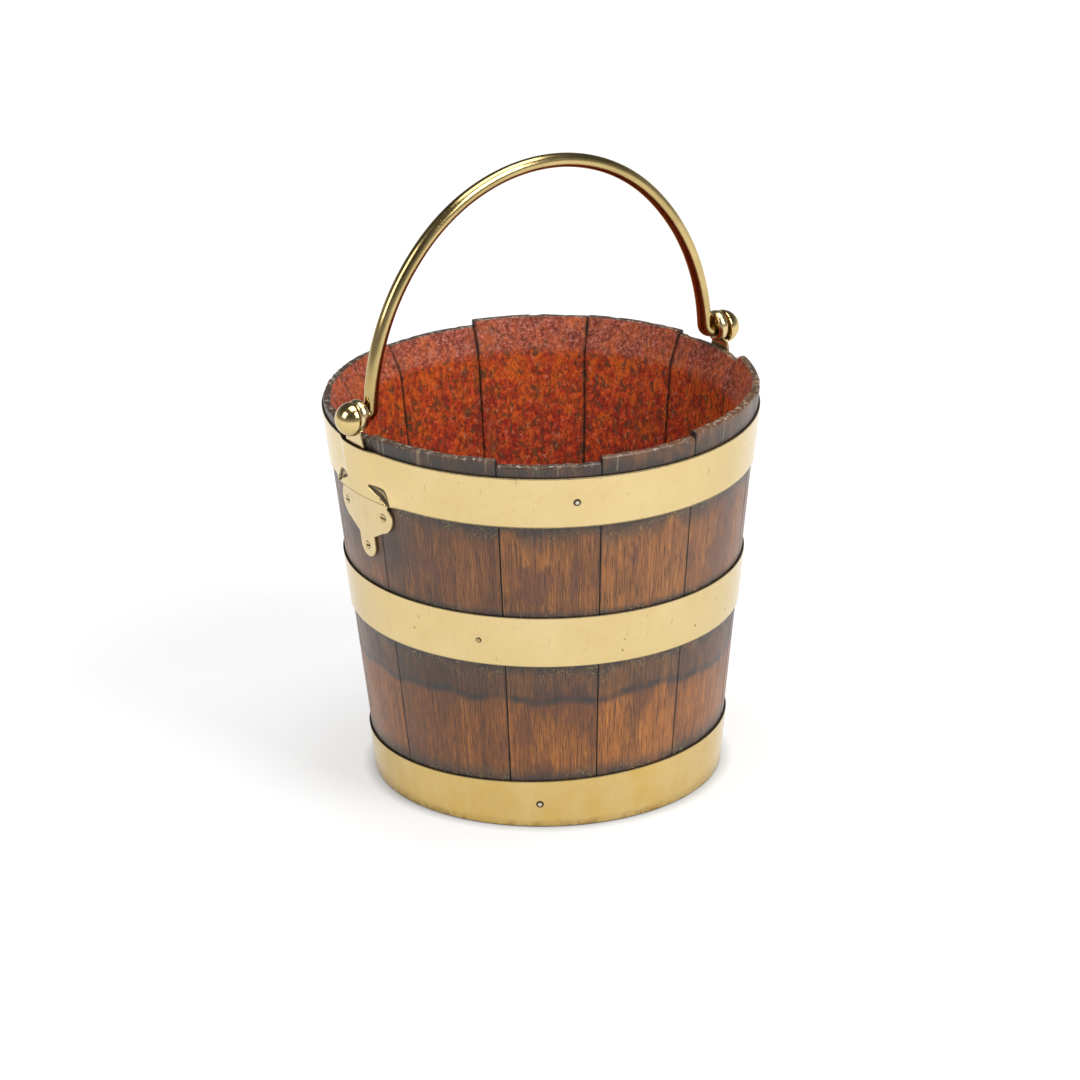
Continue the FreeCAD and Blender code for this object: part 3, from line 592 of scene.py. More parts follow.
def brass_finish(name, tints, film, film_share, roughness, mark_share=0.3, along=None, nails=()):
    """Brass with fine polishing lines, pits, and a brown film that the polish has left behind; on a strip, a
    painted reflection of the shaded floor low down.
    """
    brass = Finish(name)
    edge = brass.value("edge")
    cloudy = brass.noise(brass.place, 16, 4, 0.6)
    fine = brass.noise(brass.place, 120, 5, 0.62)
    if along:
        lines = brass.grained(brass.vector(along), (16, 900, 30), 4, 0.6)
    else:
        lines = brass.grained(brass.place, (60, 60, 420), 4, 0.6)
    pits = brass.span(brass.plus(brass.cells(brass.place, 80), fine), 0.46, 0.50, 1, 0)
    scratches = brass.grained(brass.place, (560, 560, 42), 1, 0.5, 0.3)
    marks = brass.calculate("MAXIMUM", pits, brass.span(scratches, 0.75, 0.78, 0, 0.55))
    tint = brass.ramp(cloudy, (0.35, tints[0]), (0.65, tints[1]))
    tint = brass.layers(tint, (fine, 0.52, 0.74, 0, film_share, film))
    tint = brass.mix(brass.times(marks, mark_share), tint, (0.09, 0.06, 0.025))
    if along:
        height = brass.height()
        # Low on the base hoop a warmer, darker tint in patches: a painted reflection of the shaded floor.
        worn = brass.grained(brass.place, (38, 38, 22.8), 4, 0.6)
        low_down = brass.span(height, *BASE_HOOP_FLOOR_REFLECTION, 1, 0)
        shaded_floor_reflection = brass.times(low_down, brass.span(worn, 0.36, 0.62, 0.95, 0.5))
        tint = brass.mix(shaded_floor_reflection, tint, (0.62, 0.425, 0.130))
        soiled = brass.times(brass.span(height, *FOOT_SOIL, 0.6, 0), brass.span(fine, 0.47, 0.58))
        tint = brass.mix(soiled, tint, (0.30, 0.160, 0.050))
    for seat in nails:
        tint = brass.layers(tint, (brass.gap(seat), *NAIL_RING, 0.92, 0, (0.040, 0.028, 0.014)))
    # The edge value darkens hoop edges and the heads' lower parts, and is painted shade with a painted
    # highlight in the creases beside the ears.
    tint = brass.mix(edge, tint, (0.040, 0.030, 0.014))
    uneven = brass.weighed((lines, 0.5), (cloudy, 0.5))
    brass.set(
        Base_Color=tint,
        Metallic=brass.span(edge, 0, 1, 1, 0.25),
        Roughness=brass.plus(brass.span(uneven, 0.3, 0.7, *roughness), brass.times(edge, 0.3)),
        Normal=brass.bump(marks, 0.25, -0.0003, brass.bump(lines, 0.05 if along else 0.006, 0.0002)),
    )
    return brass.material


def floor_finish():
    """Pale floor that glows, more so further from the bucket, with a painted contact shadow and painted
    shade under and beside it.
    """
    pale = Finish("pale_floor")
    drift = pale.noise(pale.place, 3, 3)
    reach = pale.gap((0, 0, 0))
    # Painted contact shadow and painted shade round the foot of the bucket.
    shade = pale.times(pale.span(reach, *FLOOR_CONTACT_SHADOW), pale.span(reach, *FLOOR_SHADE))
    pale.set(
        Base_Color=pale.ramp(drift, (0.3, (0.36, 0.36, 0.36)), (0.7, (0.38, 0.38, 0.38))),
        Roughness=pale.span(drift, 0.3, 0.7, 0.85, 0.95),
        Emission_Strength=pale.times(pale.span(reach, *FLOOR_GLOW), shade),
        Emission_Color=(1, 1, 1, 1),
        Specular_IOR_Level=0.1,
    )
    return pale.material


def dowel_finish():
    """Plain wood of the dowels inside the base boards."""
    wood = Finish("dowel_wood")
    fibres = wood.grained(wood.place, (900, 60, 900), 4, 0.6)
    wood.set(
        Base_Color=wood.ramp(fibres, (0.35, (0.20, 0.10, 0.04)), (0.65, (0.42, 0.25, 0.11))),
        Roughness=wood.span(fibres, 0.3, 0.7, 0.55, 0.75),
        Normal=wood.bump(fibres, 0.3, 0.0004),
    )
    return wood.material


# Staves.

def dirt_at(turn, height):
    """Dark dirt under and beside the hoops."""
    dirt_and_shade = 0.0
    for name, hoop in HOOPS.items():
        low = hoop_edge(hoop, "low", turn)
        high = hoop_edge(hoop, "high", turn)
        if low <= height <= high:
            return 1.0
        if height < low:
            reach = GRIME_BELOW * (1 + GRIME_WANDER * turn_noise(9, turn, low * 40))
            dirt_and_shade = max(dirt_and_shade, fade(low - height, reach))
        else:
            dirt_and_shade = max(dirt_and_shade, fade(height - high, GRIME_ABOVE[name]))
    return dirt_and_shade


def smudge_at(turn, height):
    """Dark smudge round each ear's plate, where polish has been rubbed over its edge."""
    aside = max(0.0, from_ear(turn, height) - SMUDGE_HALF_WIDTH) / SMUDGE_REACH
    below = max(0.0, SMUDGE_FOOT - height) / SMUDGE_REACH
    return SMUDGE_SHARE * smooth(1 - math.hypot(aside, below))


def stain_at(turn, height):
    """Stain with a ragged water line under the middle hoop."""
    middle = hoop_edge(HOOPS["middle_hoop"], "low", turn)
    line = middle - STAIN_DROP + turn_noise(6, turn, 0.5) * STAIN_WANDER
    strength = smooth(1.15 + turn_noise(4, turn, 7.5))
    ragged = 1.25 + 0.7 * turn_noise(30, turn, height * 60)
    stain = strength * smooth((1 - abs(height - line) / STAIN_REACH) * ragged)
    if line < height < middle:
        stain = max(stain, STAIN_BAND * strength)
    return stain


def stave_profile(top):
    """Section of a stave, up the outside and down the inside: inward, height, push in, push up, painted."""
    outside_steps, bevel_steps, inside_steps = 150, 12, 60
    outside_top = top - RIM_OUTER_EASE
    bevel_top = top - RIM_INNER_EASE
    inner_flat = RIM_THICKNESS - RIM_INNER_EASE
    section = [(0, height, 1, 0, 0) for height in spread(FOOT_EASE, outside_top, outside_steps)]
    for turn in spread(0, math.pi / 2, 4)[1:]:
        inward = RIM_OUTER_EASE * (1 - math.cos(turn))
        height = outside_top + RIM_OUTER_EASE * math.sin(turn)
        section.append((inward, height, math.cos(turn), -math.sin(turn), 0))
    for share in (0.33, 0.67):
        section.append((RIM_OUTER_EASE + (inner_flat - RIM_OUTER_EASE) * share, top, 0, -1, 0))
    for turn in spread(0, math.pi / 2, 3):
        inward = inner_flat + RIM_INNER_EASE * math.sin(turn)
        height = top - RIM_INNER_EASE * (1 - math.cos(turn))
        painted = 1 if turn > math.pi / 4 else 0
        section.append((inward, height, -math.sin(turn), -math.cos(turn), painted))
    for share in spread(0, 1, bevel_steps)[1:]:
        height = bevel_top + (BEVEL_FOOT - bevel_top) * share
        section.append((RIM_THICKNESS + (WALL - RIM_THICKNESS) * share, height, -1, -0.3, 1))
    section += [(WALL, height, -1, 0, 1) for height in spread(BEVEL_FOOT, GROOVE_HIGH, inside_steps)[1:]]
    return section + [
        (WALL - GROOVE_DEPTH, GROOVE_HIGH, 0, 0, 0),
        (WALL - GROOVE_DEPTH, GROOVE_LOW, 0, 0, 0),
        (WALL, GROOVE_LOW, -1, 0, 0),
        (WALL, FOOT_BEVEL, -1, 0, 0),
        (WALL - FOOT_BEVEL, 0, 0, 0, 0),
        (FOOT_EASE, 0, 0, 0, 0),
    ]


def seam_shares(width):
    """Places across a stave, as shares: close together at the seams, even between them."""
    even = spread(SEAM_PLACES[-1], width - SEAM_PLACES[-1], STAVE_COLUMNS)[1:-1]
    places = [*SEAM_PLACES, *even, *(width - place for place in reversed(SEAM_PLACES))]
    return [place / width for place in places]


def seam_drop(gap, ease):
    if gap >= ease:
        return 0.0
    return ease * (1 - math.sqrt(1 - (1 - gap / ease) ** 2))


def seam_shade(gap, reach):
    return smooth(1.2 - gap / reach)


def rim_wear(point, number):
    """Knocks along the rim."""
    shifted = point + Vector((0, 0, number * WEAR_SHIFT))
    knocks = max(0.0, noise.noise(shifted * KNOCK_PITCH) - KNOCK_LEVEL) * KNOCK_DEPTH
    dips = max(0.0, noise.noise(shifted * DIP_PITCH)) * DIP_DEPTH
    return knocks + dips


def make_stave(number, node):
    start, end = polar_span(node)
    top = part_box(node)[1].z
    width = (end - start) * RIM_RADIUS
    section = stave_profile(top)
    points, grain = [], []
    shades = {"grime": [], "polish": [], "rim": [], "seam": [], "tone": []}
    for share in seam_shares(width):
        turn = start + (end - start) * share
        gap = min(share, 1 - share) * width
        for inward, height, push_in, push_up, painted in section:
            radius = outer_radius(height) - inward
            flat = around(radius, turn, height)
            push = seam_drop(gap, SEAM_EASE_INSIDE if painted else SEAM_EASE)
            push += STAVE_SWELL * ripple(flat * SWELL_PITCH + Vector((0, 0, number)))
            push += fade(top - height, RIM_WEAR_REACH) * rim_wear(flat, number)
            points.append(around(radius - push * push_in, turn, height + push * push_up))
            grain.append((share * width, height, number * GRAIN_SHIFT))
            dirt_and_shade = dirt_at(turn, height)
            shades["grime"].append(max(dirt_and_shade, smudge_at(turn, height), stain_at(turn, height)))
            shades["polish"].append(dirt_and_shade if height < HOOPS["top_hoop"]["low"] else 0.0)
            if painted:
                shades["rim"].append(smooth((height - BEVEL_FOOT) / BEVEL_BLEND + 0.5))
            else:
                shades["rim"].append(fade(top - height, RIM_CHIP_REACH))
            shades["seam"].append(seam_shade(gap, SEAM_DARK_INSIDE if painted else SEAM_DARK))
            shades["tone"].append(STAVE_TONES[number - 1])
    rows = len(section)
    columns = len(points) // rows
    paint_of_row = [row[4] for row in section]
    finish_of_row = [min(pair) for pair in zip(paint_of_row, paint_of_row[1:] + paint_of_row[:1])]
    finish_of_face = finish_of_row * (columns - 1) + [0, 0]
    sides, first_ring, last_ring = strip_faces(columns, rows)
    faces = [*sides, first_ring, last_ring[::-1]]
    piece = mesh_object(f"oak_stave_{number:02d}", points, faces, (OAK, PAINT), finish_of_face)
    outward(piece)
    add_vectors(piece, "grain", grain)
    for name, values in shades.items():
        add_values(piece, name, values)
    hand_over(piece, "bucket", "stave_oak", node)


# Base boards.

def make_base_board(number):
    node = f"base_board_{number}"
    low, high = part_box(node)
    floor_radius = outer_radius(high.z) - WALL - BOARD_GAP
    near, far = max(low.y, -floor_radius * BOARD_END), min(high.y, floor_radius * BOARD_END)
    even = spread(near + BOARD_EASE, far - BOARD_EASE, BOARD_STEPS)
    places = [near, near + BOARD_EASE_STEP, *even, far - BOARD_EASE_STEP, far]
    points, grain, seam = [], [], []
    for level in ("top", "foot"):
        for place in places:
            reach = math.sqrt(floor_radius ** 2 - place ** 2)
            gap = min(place - near, far - place)
            warp = BOARD_WARP * ripple(Vector((place * BOARD_WARP_PITCH, number, 0)))
            height = high.z - seam_drop(gap, BOARD_EASE) - warp if level == "top" else low.z
            for along in spread(-reach, reach, BOARD_COLUMNS):
                points.append(Vector((along, place, height)))
                grain.append((place, along, number * BOARD_GRAIN_SHIFT))
                seam.append(seam_shade(gap, SEAM_DARK))
    rows = len(places)
    stride = BOARD_COLUMNS + 1
    under = rows * stride
    faces = []
    for row in range(rows - 1):
        for column in range(BOARD_COLUMNS):
            corner = row * stride + column
            quad = (corner, corner + 1, corner + stride + 1, corner + stride)
            faces += [quad, tuple(under + index for index in reversed(quad))]
    border = list(range(stride))
    border += [row * stride + BOARD_COLUMNS for row in range(1, rows)]
    border += [(rows - 1) * stride + column for column in reversed(range(BOARD_COLUMNS))]
    border += [row * stride for row in reversed(range(1, rows - 1))]
    for corner, following in zip(border, border[1:] + border[:1]):
        faces.append((following, corner, under + corner, under + following))
    piece = mesh_object(f"floor_board_{number}", points, faces, (PAINT,))
    outward(piece)
    add_vectors(piece, "grain", grain)
    add_values(piece, "rim", [0.0] * len(points))
    add_values(piece, "seam", seam)
    hand_over(piece, "bucket", "base_wood", node)


# Hoops.

def share_and_gap(spot, first, second):
    """How far along a line the point nearest to a spot lies, as a share, and the gap to it."""
    run = second - first
    share = min(max((spot - first).dot(run) / run.length_squared, 0.0), 1.0)
    return share, (spot - first - run * share).length


def clear_of_plate(across, height):
    """Gap between a spot on the hoop and the edge of the ear's plate under it, zero on the plate."""
    spot = Vector((across, height))
    gaps = []
    for first, second in zip(PLATE_EDGE, PLATE_EDGE[1:]):
        if second.y <= height <= first.y:
            share = (height - first.y) / (second.y - first.y)
            if across <= first.x + (second.x - first.x) * share:
                return 0.0
        gaps.append(share_and_gap(spot, first, second)[1])
    return min(gaps)


def crease_depth(across, height):
    """How deep a spot lies in the curved crease beside an ear: one along its middle, zero outside."""
    spot = Vector((across, height))
    depth = 0.0
    for number, (first, second) in enumerate(zip(CREASE, CREASE[1:])):
        share, gap = share_and_gap(spot, first, second)
        along = (number + share) / (len(CREASE) - 1)
        reach = CREASE_REACH * math.sin(math.pi * (CREASE_TIP + (1 - 2 * CREASE_TIP) * along))
        depth = max(depth, 1 - gap / reach)
    return depth


def crease_shade(depth):
    """Painted shade in a crease, left lighter along its middle as a painted highlight."""
    rubbed = smooth((depth - 0.6) / 0.3)
    return smooth(3 * depth) * (0.95 - 0.6 * rubbed)


def dressed_over_ear(across, height, top):
    """How far the top hoop stands off the staves where it is beaten down over an ear's plate."""
    if across > DRESS_LIMIT:
        return 0.0
    lift = PLATE_RISE * fade(clear_of_plate(across, height) - DRESS_START, DRESS_REACH)
    crease = smooth(CREASE_STEEPNESS * crease_depth(across, height))
    lift = max(0.0, lift - CREASE_SINK * PLATE_RISE * crease)
    mouth = smooth((height - top + MOUTH_DEPTH) / MOUTH_DEPTH) * smooth(1.5 - across / STRAP_HALF_WIDTH)
    return lift + MOUTH_RISE * mouth


def hoop_turns(start, end, fine):
    """Angles along a hoop's strip, closer together where it passes the ears."""
    turns = [start]
    while turns[-1] < end:
        aside = abs((turns[-1] + math.pi / 2) % math.pi - math.pi / 2)
        step = STRIP_STEP_BY_EAR if fine and aside < EAR_HALF_TURN else STRIP_STEP
        turns.append(min(turns[-1] + step, end))
    return turns


def strip_section(rows):
    """Section of a strip: share of the height, shift of the height, share of the thickness."""
    shares = [0, *spread(0, 1, rows - 1), 1]
    shift = [STRIP_EDGE, 3 * STRIP_EDGE] + [0.0] * (rows - 2) + [-3 * STRIP_EDGE, -STRIP_EDGE]
    inside = [(share, move, 0.0) for share, move in zip(shares, shift)]
    outside = [(share, move, 1.0) for share, move in zip(reversed(shares), reversed(shift))]
    return inside + [(1, 0, 0.3), (1, 0, 0.7)] + outside + [(0, 0, 0.7), (0, 0, 0.3)]


def make_hoop(name, hoop):
    radius = outer_radius((hoop["low"] + hoop["high"]) / 2)
    start = math.radians(hoop["lap"])
    end = start + math.tau + LAP_LENGTH / radius
    joggle_start = start + math.tau - JOGGLE_LENGTH / radius
    section = strip_section(hoop["rows"])
    points, strip, edge = [], [], []
    for turn in hoop_turns(start, end, name == "top_hoop"):
        low = hoop_edge(hoop, "low", turn)
        high = hoop_edge(hoop, "high", turn)
        joggle = smooth((turn - joggle_start) * radius / JOGGLE_LENGTH)
        for share, shift, layer in section:
            height = low + (high - low) * share + shift
            spot = around(outer_radius(height), turn, height)
            lift = HOOP_WAVE * ripple(spot * HOOP_WAVE_PITCH) + joggle * (HOOP_THICKNESS + HOOP_GAP)
            # Darker along the hoop's edges; beside the ears, painted shade in the creases with a painted
            # highlight along their middle.
            dirt_and_shade = fade(min(height - low, high - height), HOOP_EDGE_DARKENING)
            if name == "top_hoop":
                across = from_ear(turn, height)
                lift += dressed_over_ear(across, height, high)
                dirt_and_shade = max(dirt_and_shade, crease_shade(crease_depth(across, height)))
            stand_off = HOOP_GAP + lift + layer * HOOP_THICKNESS
            points.append(around(outer_radius(height) + stand_off, turn, height))
            strip.append((turn * radius, height, 0.0))
            edge.append(dirt_and_shade)
    rows = len(section)
    sides, first_ring, last_ring = strip_faces(len(points) // rows, rows)
    faces = [*sides, first_ring[::-1], last_ring]
    piece = mesh_object(f"brass_{name}", points, faces, (HOOP_BRASS,))
    outward(piece)
    add_vectors(piece, "strip", strip)
    add_values(piece, "edge", edge)
    hand_over(piece, "bucket", "hoop_brass", name)


# Ears.

def add_ring(shape, direction):
    """Round ring of an eye: an oval section carried round the line of the pins."""
    steps, section_steps = 72, 28
    rows = []
    for turn in spread(0, math.tau, steps)[:-1]:
        row = []
        for side in spread(0, math.tau, section_steps)[:-1]:
            radius = EYE_MEAN_RADIUS + EYE_HALF_WIDTH * math.cos(side)
            along = direction * (EYE_MIDDLE + EYE_HALF_THICKNESS * math.sin(side))
            spot = Vector((along, radius * math.cos(turn), EYE_HEIGHT + radius * math.sin(turn)))
            row.append(shape.verts.new(spot))
        rows.append(row)
    for row, following in zip(rows, rows[1:] + rows[:1]):
        for index in range(section_steps):
            other = (index + 1) % section_steps
            shape.faces.new((row[index], row[other], following[other], following[index]))


def make_ear(side, direction):
    """The ear as it comes from the mould: a round ring on the plain casting, its edges softened by wear."""
    node = f"ear_{side}"
    shape = merged_solid(node)
    everything = shape.verts[:] + shape.edges[:] + shape.faces[:]
    bmesh.ops.bisect_plane(
        shape, geom=everything, plane_co=(0, 0, EYE_SEAT), plane_no=(0, 0, 1), clear_outer=True)
    bmesh.ops.holes_fill(shape, edges=[bond for bond in shape.edges if bond.is_boundary])
    for vertex in shape.verts:
        vertex.co.y *= 1 - NECK_TAPER * smooth((vertex.co.z - NECK_FOOT) / (EYE_SEAT - NECK_FOOT))
    add_ring(shape, direction)
    bmesh.ops.recalc_face_normals(shape, faces=shape.faces)
    mesh = bpy.data.meshes.new(f"cast_ear_{side}")
    shape.to_mesh(mesh)
    shape.free()
    piece = new_object(f"cast_ear_{side}", mesh)
    casting = piece.modifiers.new("casting", "REMESH")
    casting.mode = "VOXEL"
    casting.voxel_size = CASTING_VOXEL
    casting.use_smooth_shade = True
    wear = piece.modifiers.new("wear", "SMOOTH")
    wear.factor = 0.5
    wear.iterations = WEAR_PASSES
    bake(piece)
    piece.data.materials.clear()
    piece.data.materials.append(EAR_BRASS)
    hand_over(piece, "bucket", "ear_brass", node)


# Bail: a bar swept along its path by geometry nodes.

def tree_with_inputs(name, kinds):
    """New tree for a piece's geometry and these inputs, and what it is given."""
    tree = bpy.data.node_groups.new(name, "GeometryNodeTree")
    tree.interface.new_socket("Geometry", in_out="OUTPUT", socket_type="NodeSocketGeometry")
    for label, kind in {"Geometry": "Geometry", **kinds}.items():
        tree.interface.new_socket(label, in_out="INPUT", socket_type=f"NodeSocket{kind}")
    return tree, tree.nodes.new("NodeGroupInput").outputs


def close_tree(tree, geometry, finish):
    """Ends a tree with a real mesh in its finish."""
    solid = add_node(tree, "GeometryNodeRealizeInstances", {"Geometry": geometry})
    done = add_node(tree, "GeometryNodeSetMaterial", {"Geometry": solid, "Material": finish})
    tree.links.new(done, tree.nodes.new("NodeGroupOutput").inputs["Geometry"])


def run_tree(piece, tree, values):
    """Runs a node tree on a piece with these inputs and leaves a plain mesh."""
    modifier = piece.modifiers.new(tree.name, "NODES")
    modifier.node_group = tree
    for item in tree.interface.items_tree:
        if item.in_out == "INPUT" and item.name in values:
            modifier[item.identifier] = values[item.name]
    bake(piece)


def swept_bar_tree():
    tree, given = tree_with_inputs("swept_bar", {
        "Bar diameter": "Float",
        "Pin diameter": "Float",
        "Round steps": "Int",
        "Unevenness": "Float",
        "Finish": "Material",
    })
    path = add_node(tree, "GeometryNodeMeshToCurve", {"Mesh": given["Geometry"]})
    pin = add_node(tree, "GeometryNodeInputNamedAttribute", {"Name": "pin"}, data_type="FLOAT")
    across = add_node(tree, "ShaderNodeMix", {0: pin, 2: given["Bar diameter"], 3: given["Pin diameter"]})
    radius = add_node(tree, "ShaderNodeMath", {0: across, 1: 0.5}, operation="MULTIPLY")
    ring = add_node(tree, "GeometryNodeCurvePrimitiveCircle", {
        "Resolution": given["Round steps"], "Radius": 1.0})
    bar = add_node(tree, "GeometryNodeCurveToMesh", {
        "Curve": path, "Profile Curve": ring, "Scale": radius, "Fill Caps": True})
    dents = add_node(tree, "ShaderNodeTexNoise", {"Scale": BAR_DENT_PITCH, "Detail": 1.0})
    inward = add_node(tree, "ShaderNodeMath", {0: dents, 1: 1.0}, operation="SUBTRACT")
    depth = add_node(tree, "ShaderNodeMath", {0: inward, 1: given["Unevenness"]}, operation="MULTIPLY")
    normal = add_node(tree, "GeometryNodeInputNormal")
    push = add_node(tree, "ShaderNodeVectorMath", {0: normal, "Scale": depth}, operation="SCALE")
    worn = add_node(tree, "GeometryNodeSetPosition", {"Geometry": bar, "Offset": push})
    soft = add_node(tree, "GeometryNodeSetShadeSmooth", {"Geometry": worn})
    close_tree(tree, soft, given["Finish"])
    return tree


def bail_path():
    """Points from the right-hand pin over the arch to the left-hand one, each with its share of pin."""
    offset = (BAIL_RISE - HALF_SPAN) / (math.cos(HAUNCH) + math.sin(HAUNCH) - 1)
    crown_centre = offset * math.sin(HAUNCH)
    crown_radius = BAIL_RISE - crown_centre
    side_radius = HALF_SPAN + offset * math.cos(HAUNCH)
    pin_start = HALF_SPAN + FOOT_BEND
    leg_start = math.asin(FOOT_BEND / side_radius)
    pin_steps, bend_steps, leg_steps, crown_steps = 8, 12, 80, 70
    half = []
    for share in spread(0, 1, pin_steps):
        pin = 1 - smooth((share - PIN_TAPER_START) / (1 - PIN_TAPER_START))
        half.append((PIN_END + (pin_start - PIN_END) * share, 0, pin))
    for turn in spread(0, math.pi / 2, bend_steps)[1:]:
        half.append((pin_start - FOOT_BEND * math.sin(turn), FOOT_BEND * (1 - math.cos(turn)), 0))
    for turn in spread(leg_start, HAUNCH, leg_steps)[1:]:
        half.append((side_radius * math.cos(turn) - crown_centre, side_radius * math.sin(turn), 0))
    for turn in spread(HAUNCH, math.pi / 2, crown_steps)[1:]:
        half.append((crown_radius * math.cos(turn), crown_centre + crown_radius * math.sin(turn), 0))
    return half + [(-along, rise, pin) for along, rise, pin in reversed(half[:-1])]


def make_bail():
    path = bail_path()
    mesh = bpy.data.meshes.new("bail_bar")
    points = [Vector((along, 0, HINGE_HEIGHT + rise)) for along, rise, pin in path]
    mesh.from_pydata(points, [(index, index + 1) for index in range(len(points) - 1)], [])
    piece = new_object("bail_bar", mesh)
    add_values(piece, "pin", [pin for along, rise, pin in path])
    run_tree(piece, swept_bar_tree(), {
        "Bar diameter": BAR_DIAMETER,
        "Pin diameter": PIN_DIAMETER,
        "Round steps": BAR_ROUND_STEPS,
        "Unevenness": BAR_UNEVENNESS,
        "Finish": BAIL_BRASS,
    })
    outward(piece)
    hand_over(piece, "bail", "bail_brass", "bail")


def lathed(name, profile, steps, finish):
    """Closed solid turned about Z from (radius, height) points that start and end on the axis."""
    points = [Vector((0, 0, profile[0][1]))]
    for radius, height in profile[1:-1]:
        points += [around(radius, turn, height) for turn in spread(0, math.tau, steps)[:-1]]
    points.append(Vector((0, 0, profile[-1][1])))
    rings = len(profile) - 2
    base = 1 + (rings - 1) * steps
    faces = []
    for step in range(steps):
        following = (step + 1) % steps
        faces.append((0, 1 + following, 1 + step))
        for ring in range(rings - 1):
            first, second = 1 + ring * steps, 1 + (ring + 1) * steps
            faces.append((first + step, first + following, second + following, second + step))
        faces.append((base + step, base + following, len(points) - 1))
    piece = mesh_object(name, points, faces, (finish,))
    outward(piece)
    return piece


def make_cap(side, direction):
    profile = [
        (0, 0),
        (CAP_RADIUS * 0.6, 0),
        (CAP_RADIUS - 2 * CAP_EASE, 0),
        (CAP_RADIUS - CAP_EASE, CAP_LIP),
        (CAP_RADIUS - 0.3 * CAP_EASE, 0.4 * CAP_EASE),
        (CAP_RADIUS, 1.4 * CAP_EASE),
    ]
    for turn in spread(0, math.pi / 2, CAP_DOME_STEPS)[2:-1]:
        profile.append((CAP_RADIUS * math.cos(turn), CAP_RADIUS * math.sin(turn)))
    profile.append((0, CAP_RADIUS))
    piece = lathed(f"bail_cap_{side}_dome", profile, CAP_ROUND_STEPS, CAP_BRASS)
    placing = Matrix.Translation((direction * CAP_BASE, 0, HINGE_HEIGHT))
    piece.data.transform(placing @ Matrix.Rotation(direction * math.pi / 2, 4, "Y"))
    hand_over(piece, "bail", "bail_brass", f"bail_cap_{side}")


# Fasteners: one head, set on every seat by geometry nodes.

def loose_solids(node):
    """Points of each separate solid in a node, in the order of the node's mesh."""
    shape = merged_solid(node)
    left = set(shape.verts)
    solids = []
    for start in shape.verts:
        if start not in left:
            continue
        left.remove(start)
        queue = [start]
        solid = []
        while queue:
            vertex = queue.pop()
            solid.append(vertex.co.copy())
            for bond in vertex.link_edges:
                other = bond.other_vert(vertex)
                if other in left:
                    left.remove(other)
                    queue.append(other)
        solids.append(solid)
    shape.free()
    return solids


def seats_of(node, head_height):
    """Where each head of a node sits, and the way that it faces."""
    seats = []
    for solid in loose_solids(node):
        turn = math.atan2(sum(point.y for point in solid), sum(point.x for point in solid))
        facing = around(math.cos(LEAN), turn, -math.sin(LEAN))
        aside = Vector((-math.sin(turn), math.cos(turn), 0))
        upward = facing.cross(aside)
        place = (max(point.dot(facing) for point in solid) - head_height) * facing
        for axis in (aside, upward):
            reach = [point.dot(axis) for point in solid]
            place = place + (min(reach) + max(reach)) / 2 * axis
        seats.append((place, facing))
    return seats


def ringed_nail_seats():
    """Seats of the nails that have a ring of dirt round them."""
    nodes = [node for node, finish in NAIL_FINISHES.items() if finish == NAIL_METAL]
    return [place for node in nodes for place, facing in seats_of(node, NAIL_HEAD_HEIGHT)]


def set_heads_tree():
    tree, given = tree_with_inputs("set_heads", {
        "Head": "Object",
        "Head diameter": "Float",
        "Greatest turn": "Float",
        "Seed": "Int",
        "Finish": "Material",
    })
    head = add_node(tree, "GeometryNodeObjectInfo", {"Object": given["Head"]}, "Geometry")
    facing = add_node(
        tree, "GeometryNodeInputNamedAttribute", {"Name": "facing"}, data_type="FLOAT_VECTOR")
    aimed = add_node(tree, "FunctionNodeAlignRotationToVector", {"Vector": facing}, axis="Z")
    least = add_node(tree, "ShaderNodeMath", {0: given["Greatest turn"], 1: -1.0}, operation="MULTIPLY")
    spin = add_node(tree, "FunctionNodeRandomValue", {
        2: least, 3: given["Greatest turn"], "Seed": given["Seed"]}, 1, data_type="FLOAT")
    turn = add_node(tree, "FunctionNodeAxisAngleToRotation", {"Axis": (0, 0, 1), "Angle": spin})
    turned = add_node(tree, "FunctionNodeRotateRotation", {
        "Rotation": aimed, "Rotate By": turn}, rotation_space="LOCAL")
    radius = add_node(tree, "ShaderNodeMath", {0: given["Head diameter"], 1: 0.5}, operation="MULTIPLY")
    heads = add_node(tree, "GeometryNodeInstanceOnPoints", {
        "Points": given["Geometry"], "Instance": head, "Rotation": turned, "Scale": radius})
    close_tree(tree, heads, given["Finish"])
    return tree


def mark_ring(head, height):
    """Darkens whatever of a head lies lower than this."""
    add_values(head, "edge", [1.0 if vertex.co.z < height else 0.0 for vertex in head.data.vertices])


def domed_head(name, rise, ring):
    """Head of unit radius with a worn dome, darker below this share of its rise."""
    profile = [(radius, rise * share) for radius, share in DOME_SECTION]
    head = lathed(name, profile, DOME_ROUND_STEPS, FASTENER_BRASS)
    mark_ring(head, rise * ring)
    return head


def slotted_head(name):
    """Countersunk head of unit radius with a straight slot."""
    head = lathed(name, SCREW_SECTION, SCREW_ROUND_STEPS, FASTENER_BRASS)
    corners = [
        Vector((across, along, rise))
        for along in (-SLOT_HALF_LENGTH, SLOT_HALF_LENGTH)
        for across in (-SLOT_HALF_WIDTH, SLOT_HALF_WIDTH)
        for rise in (SLOT_FLOOR, SLOT_TOP)
    ]
    sides = [(0, 1, 3, 2), (4, 6, 7, 5), (0, 4, 5, 1), (2, 3, 7, 6), (0, 2, 6, 4), (1, 5, 7, 3)]
    blade = mesh_object("slot_blade", corners, sides, (FASTENER_BRASS,))
    outward(blade)
    cut = head.modifiers.new("slot", "BOOLEAN")
    cut.object = blade
    cut.operation = "DIFFERENCE"
    cut.solver = "EXACT"
    bake(head)
    bpy.data.objects.remove(blade)
    mark_ring(head, SCREW_DARK_BELOW)
    return head


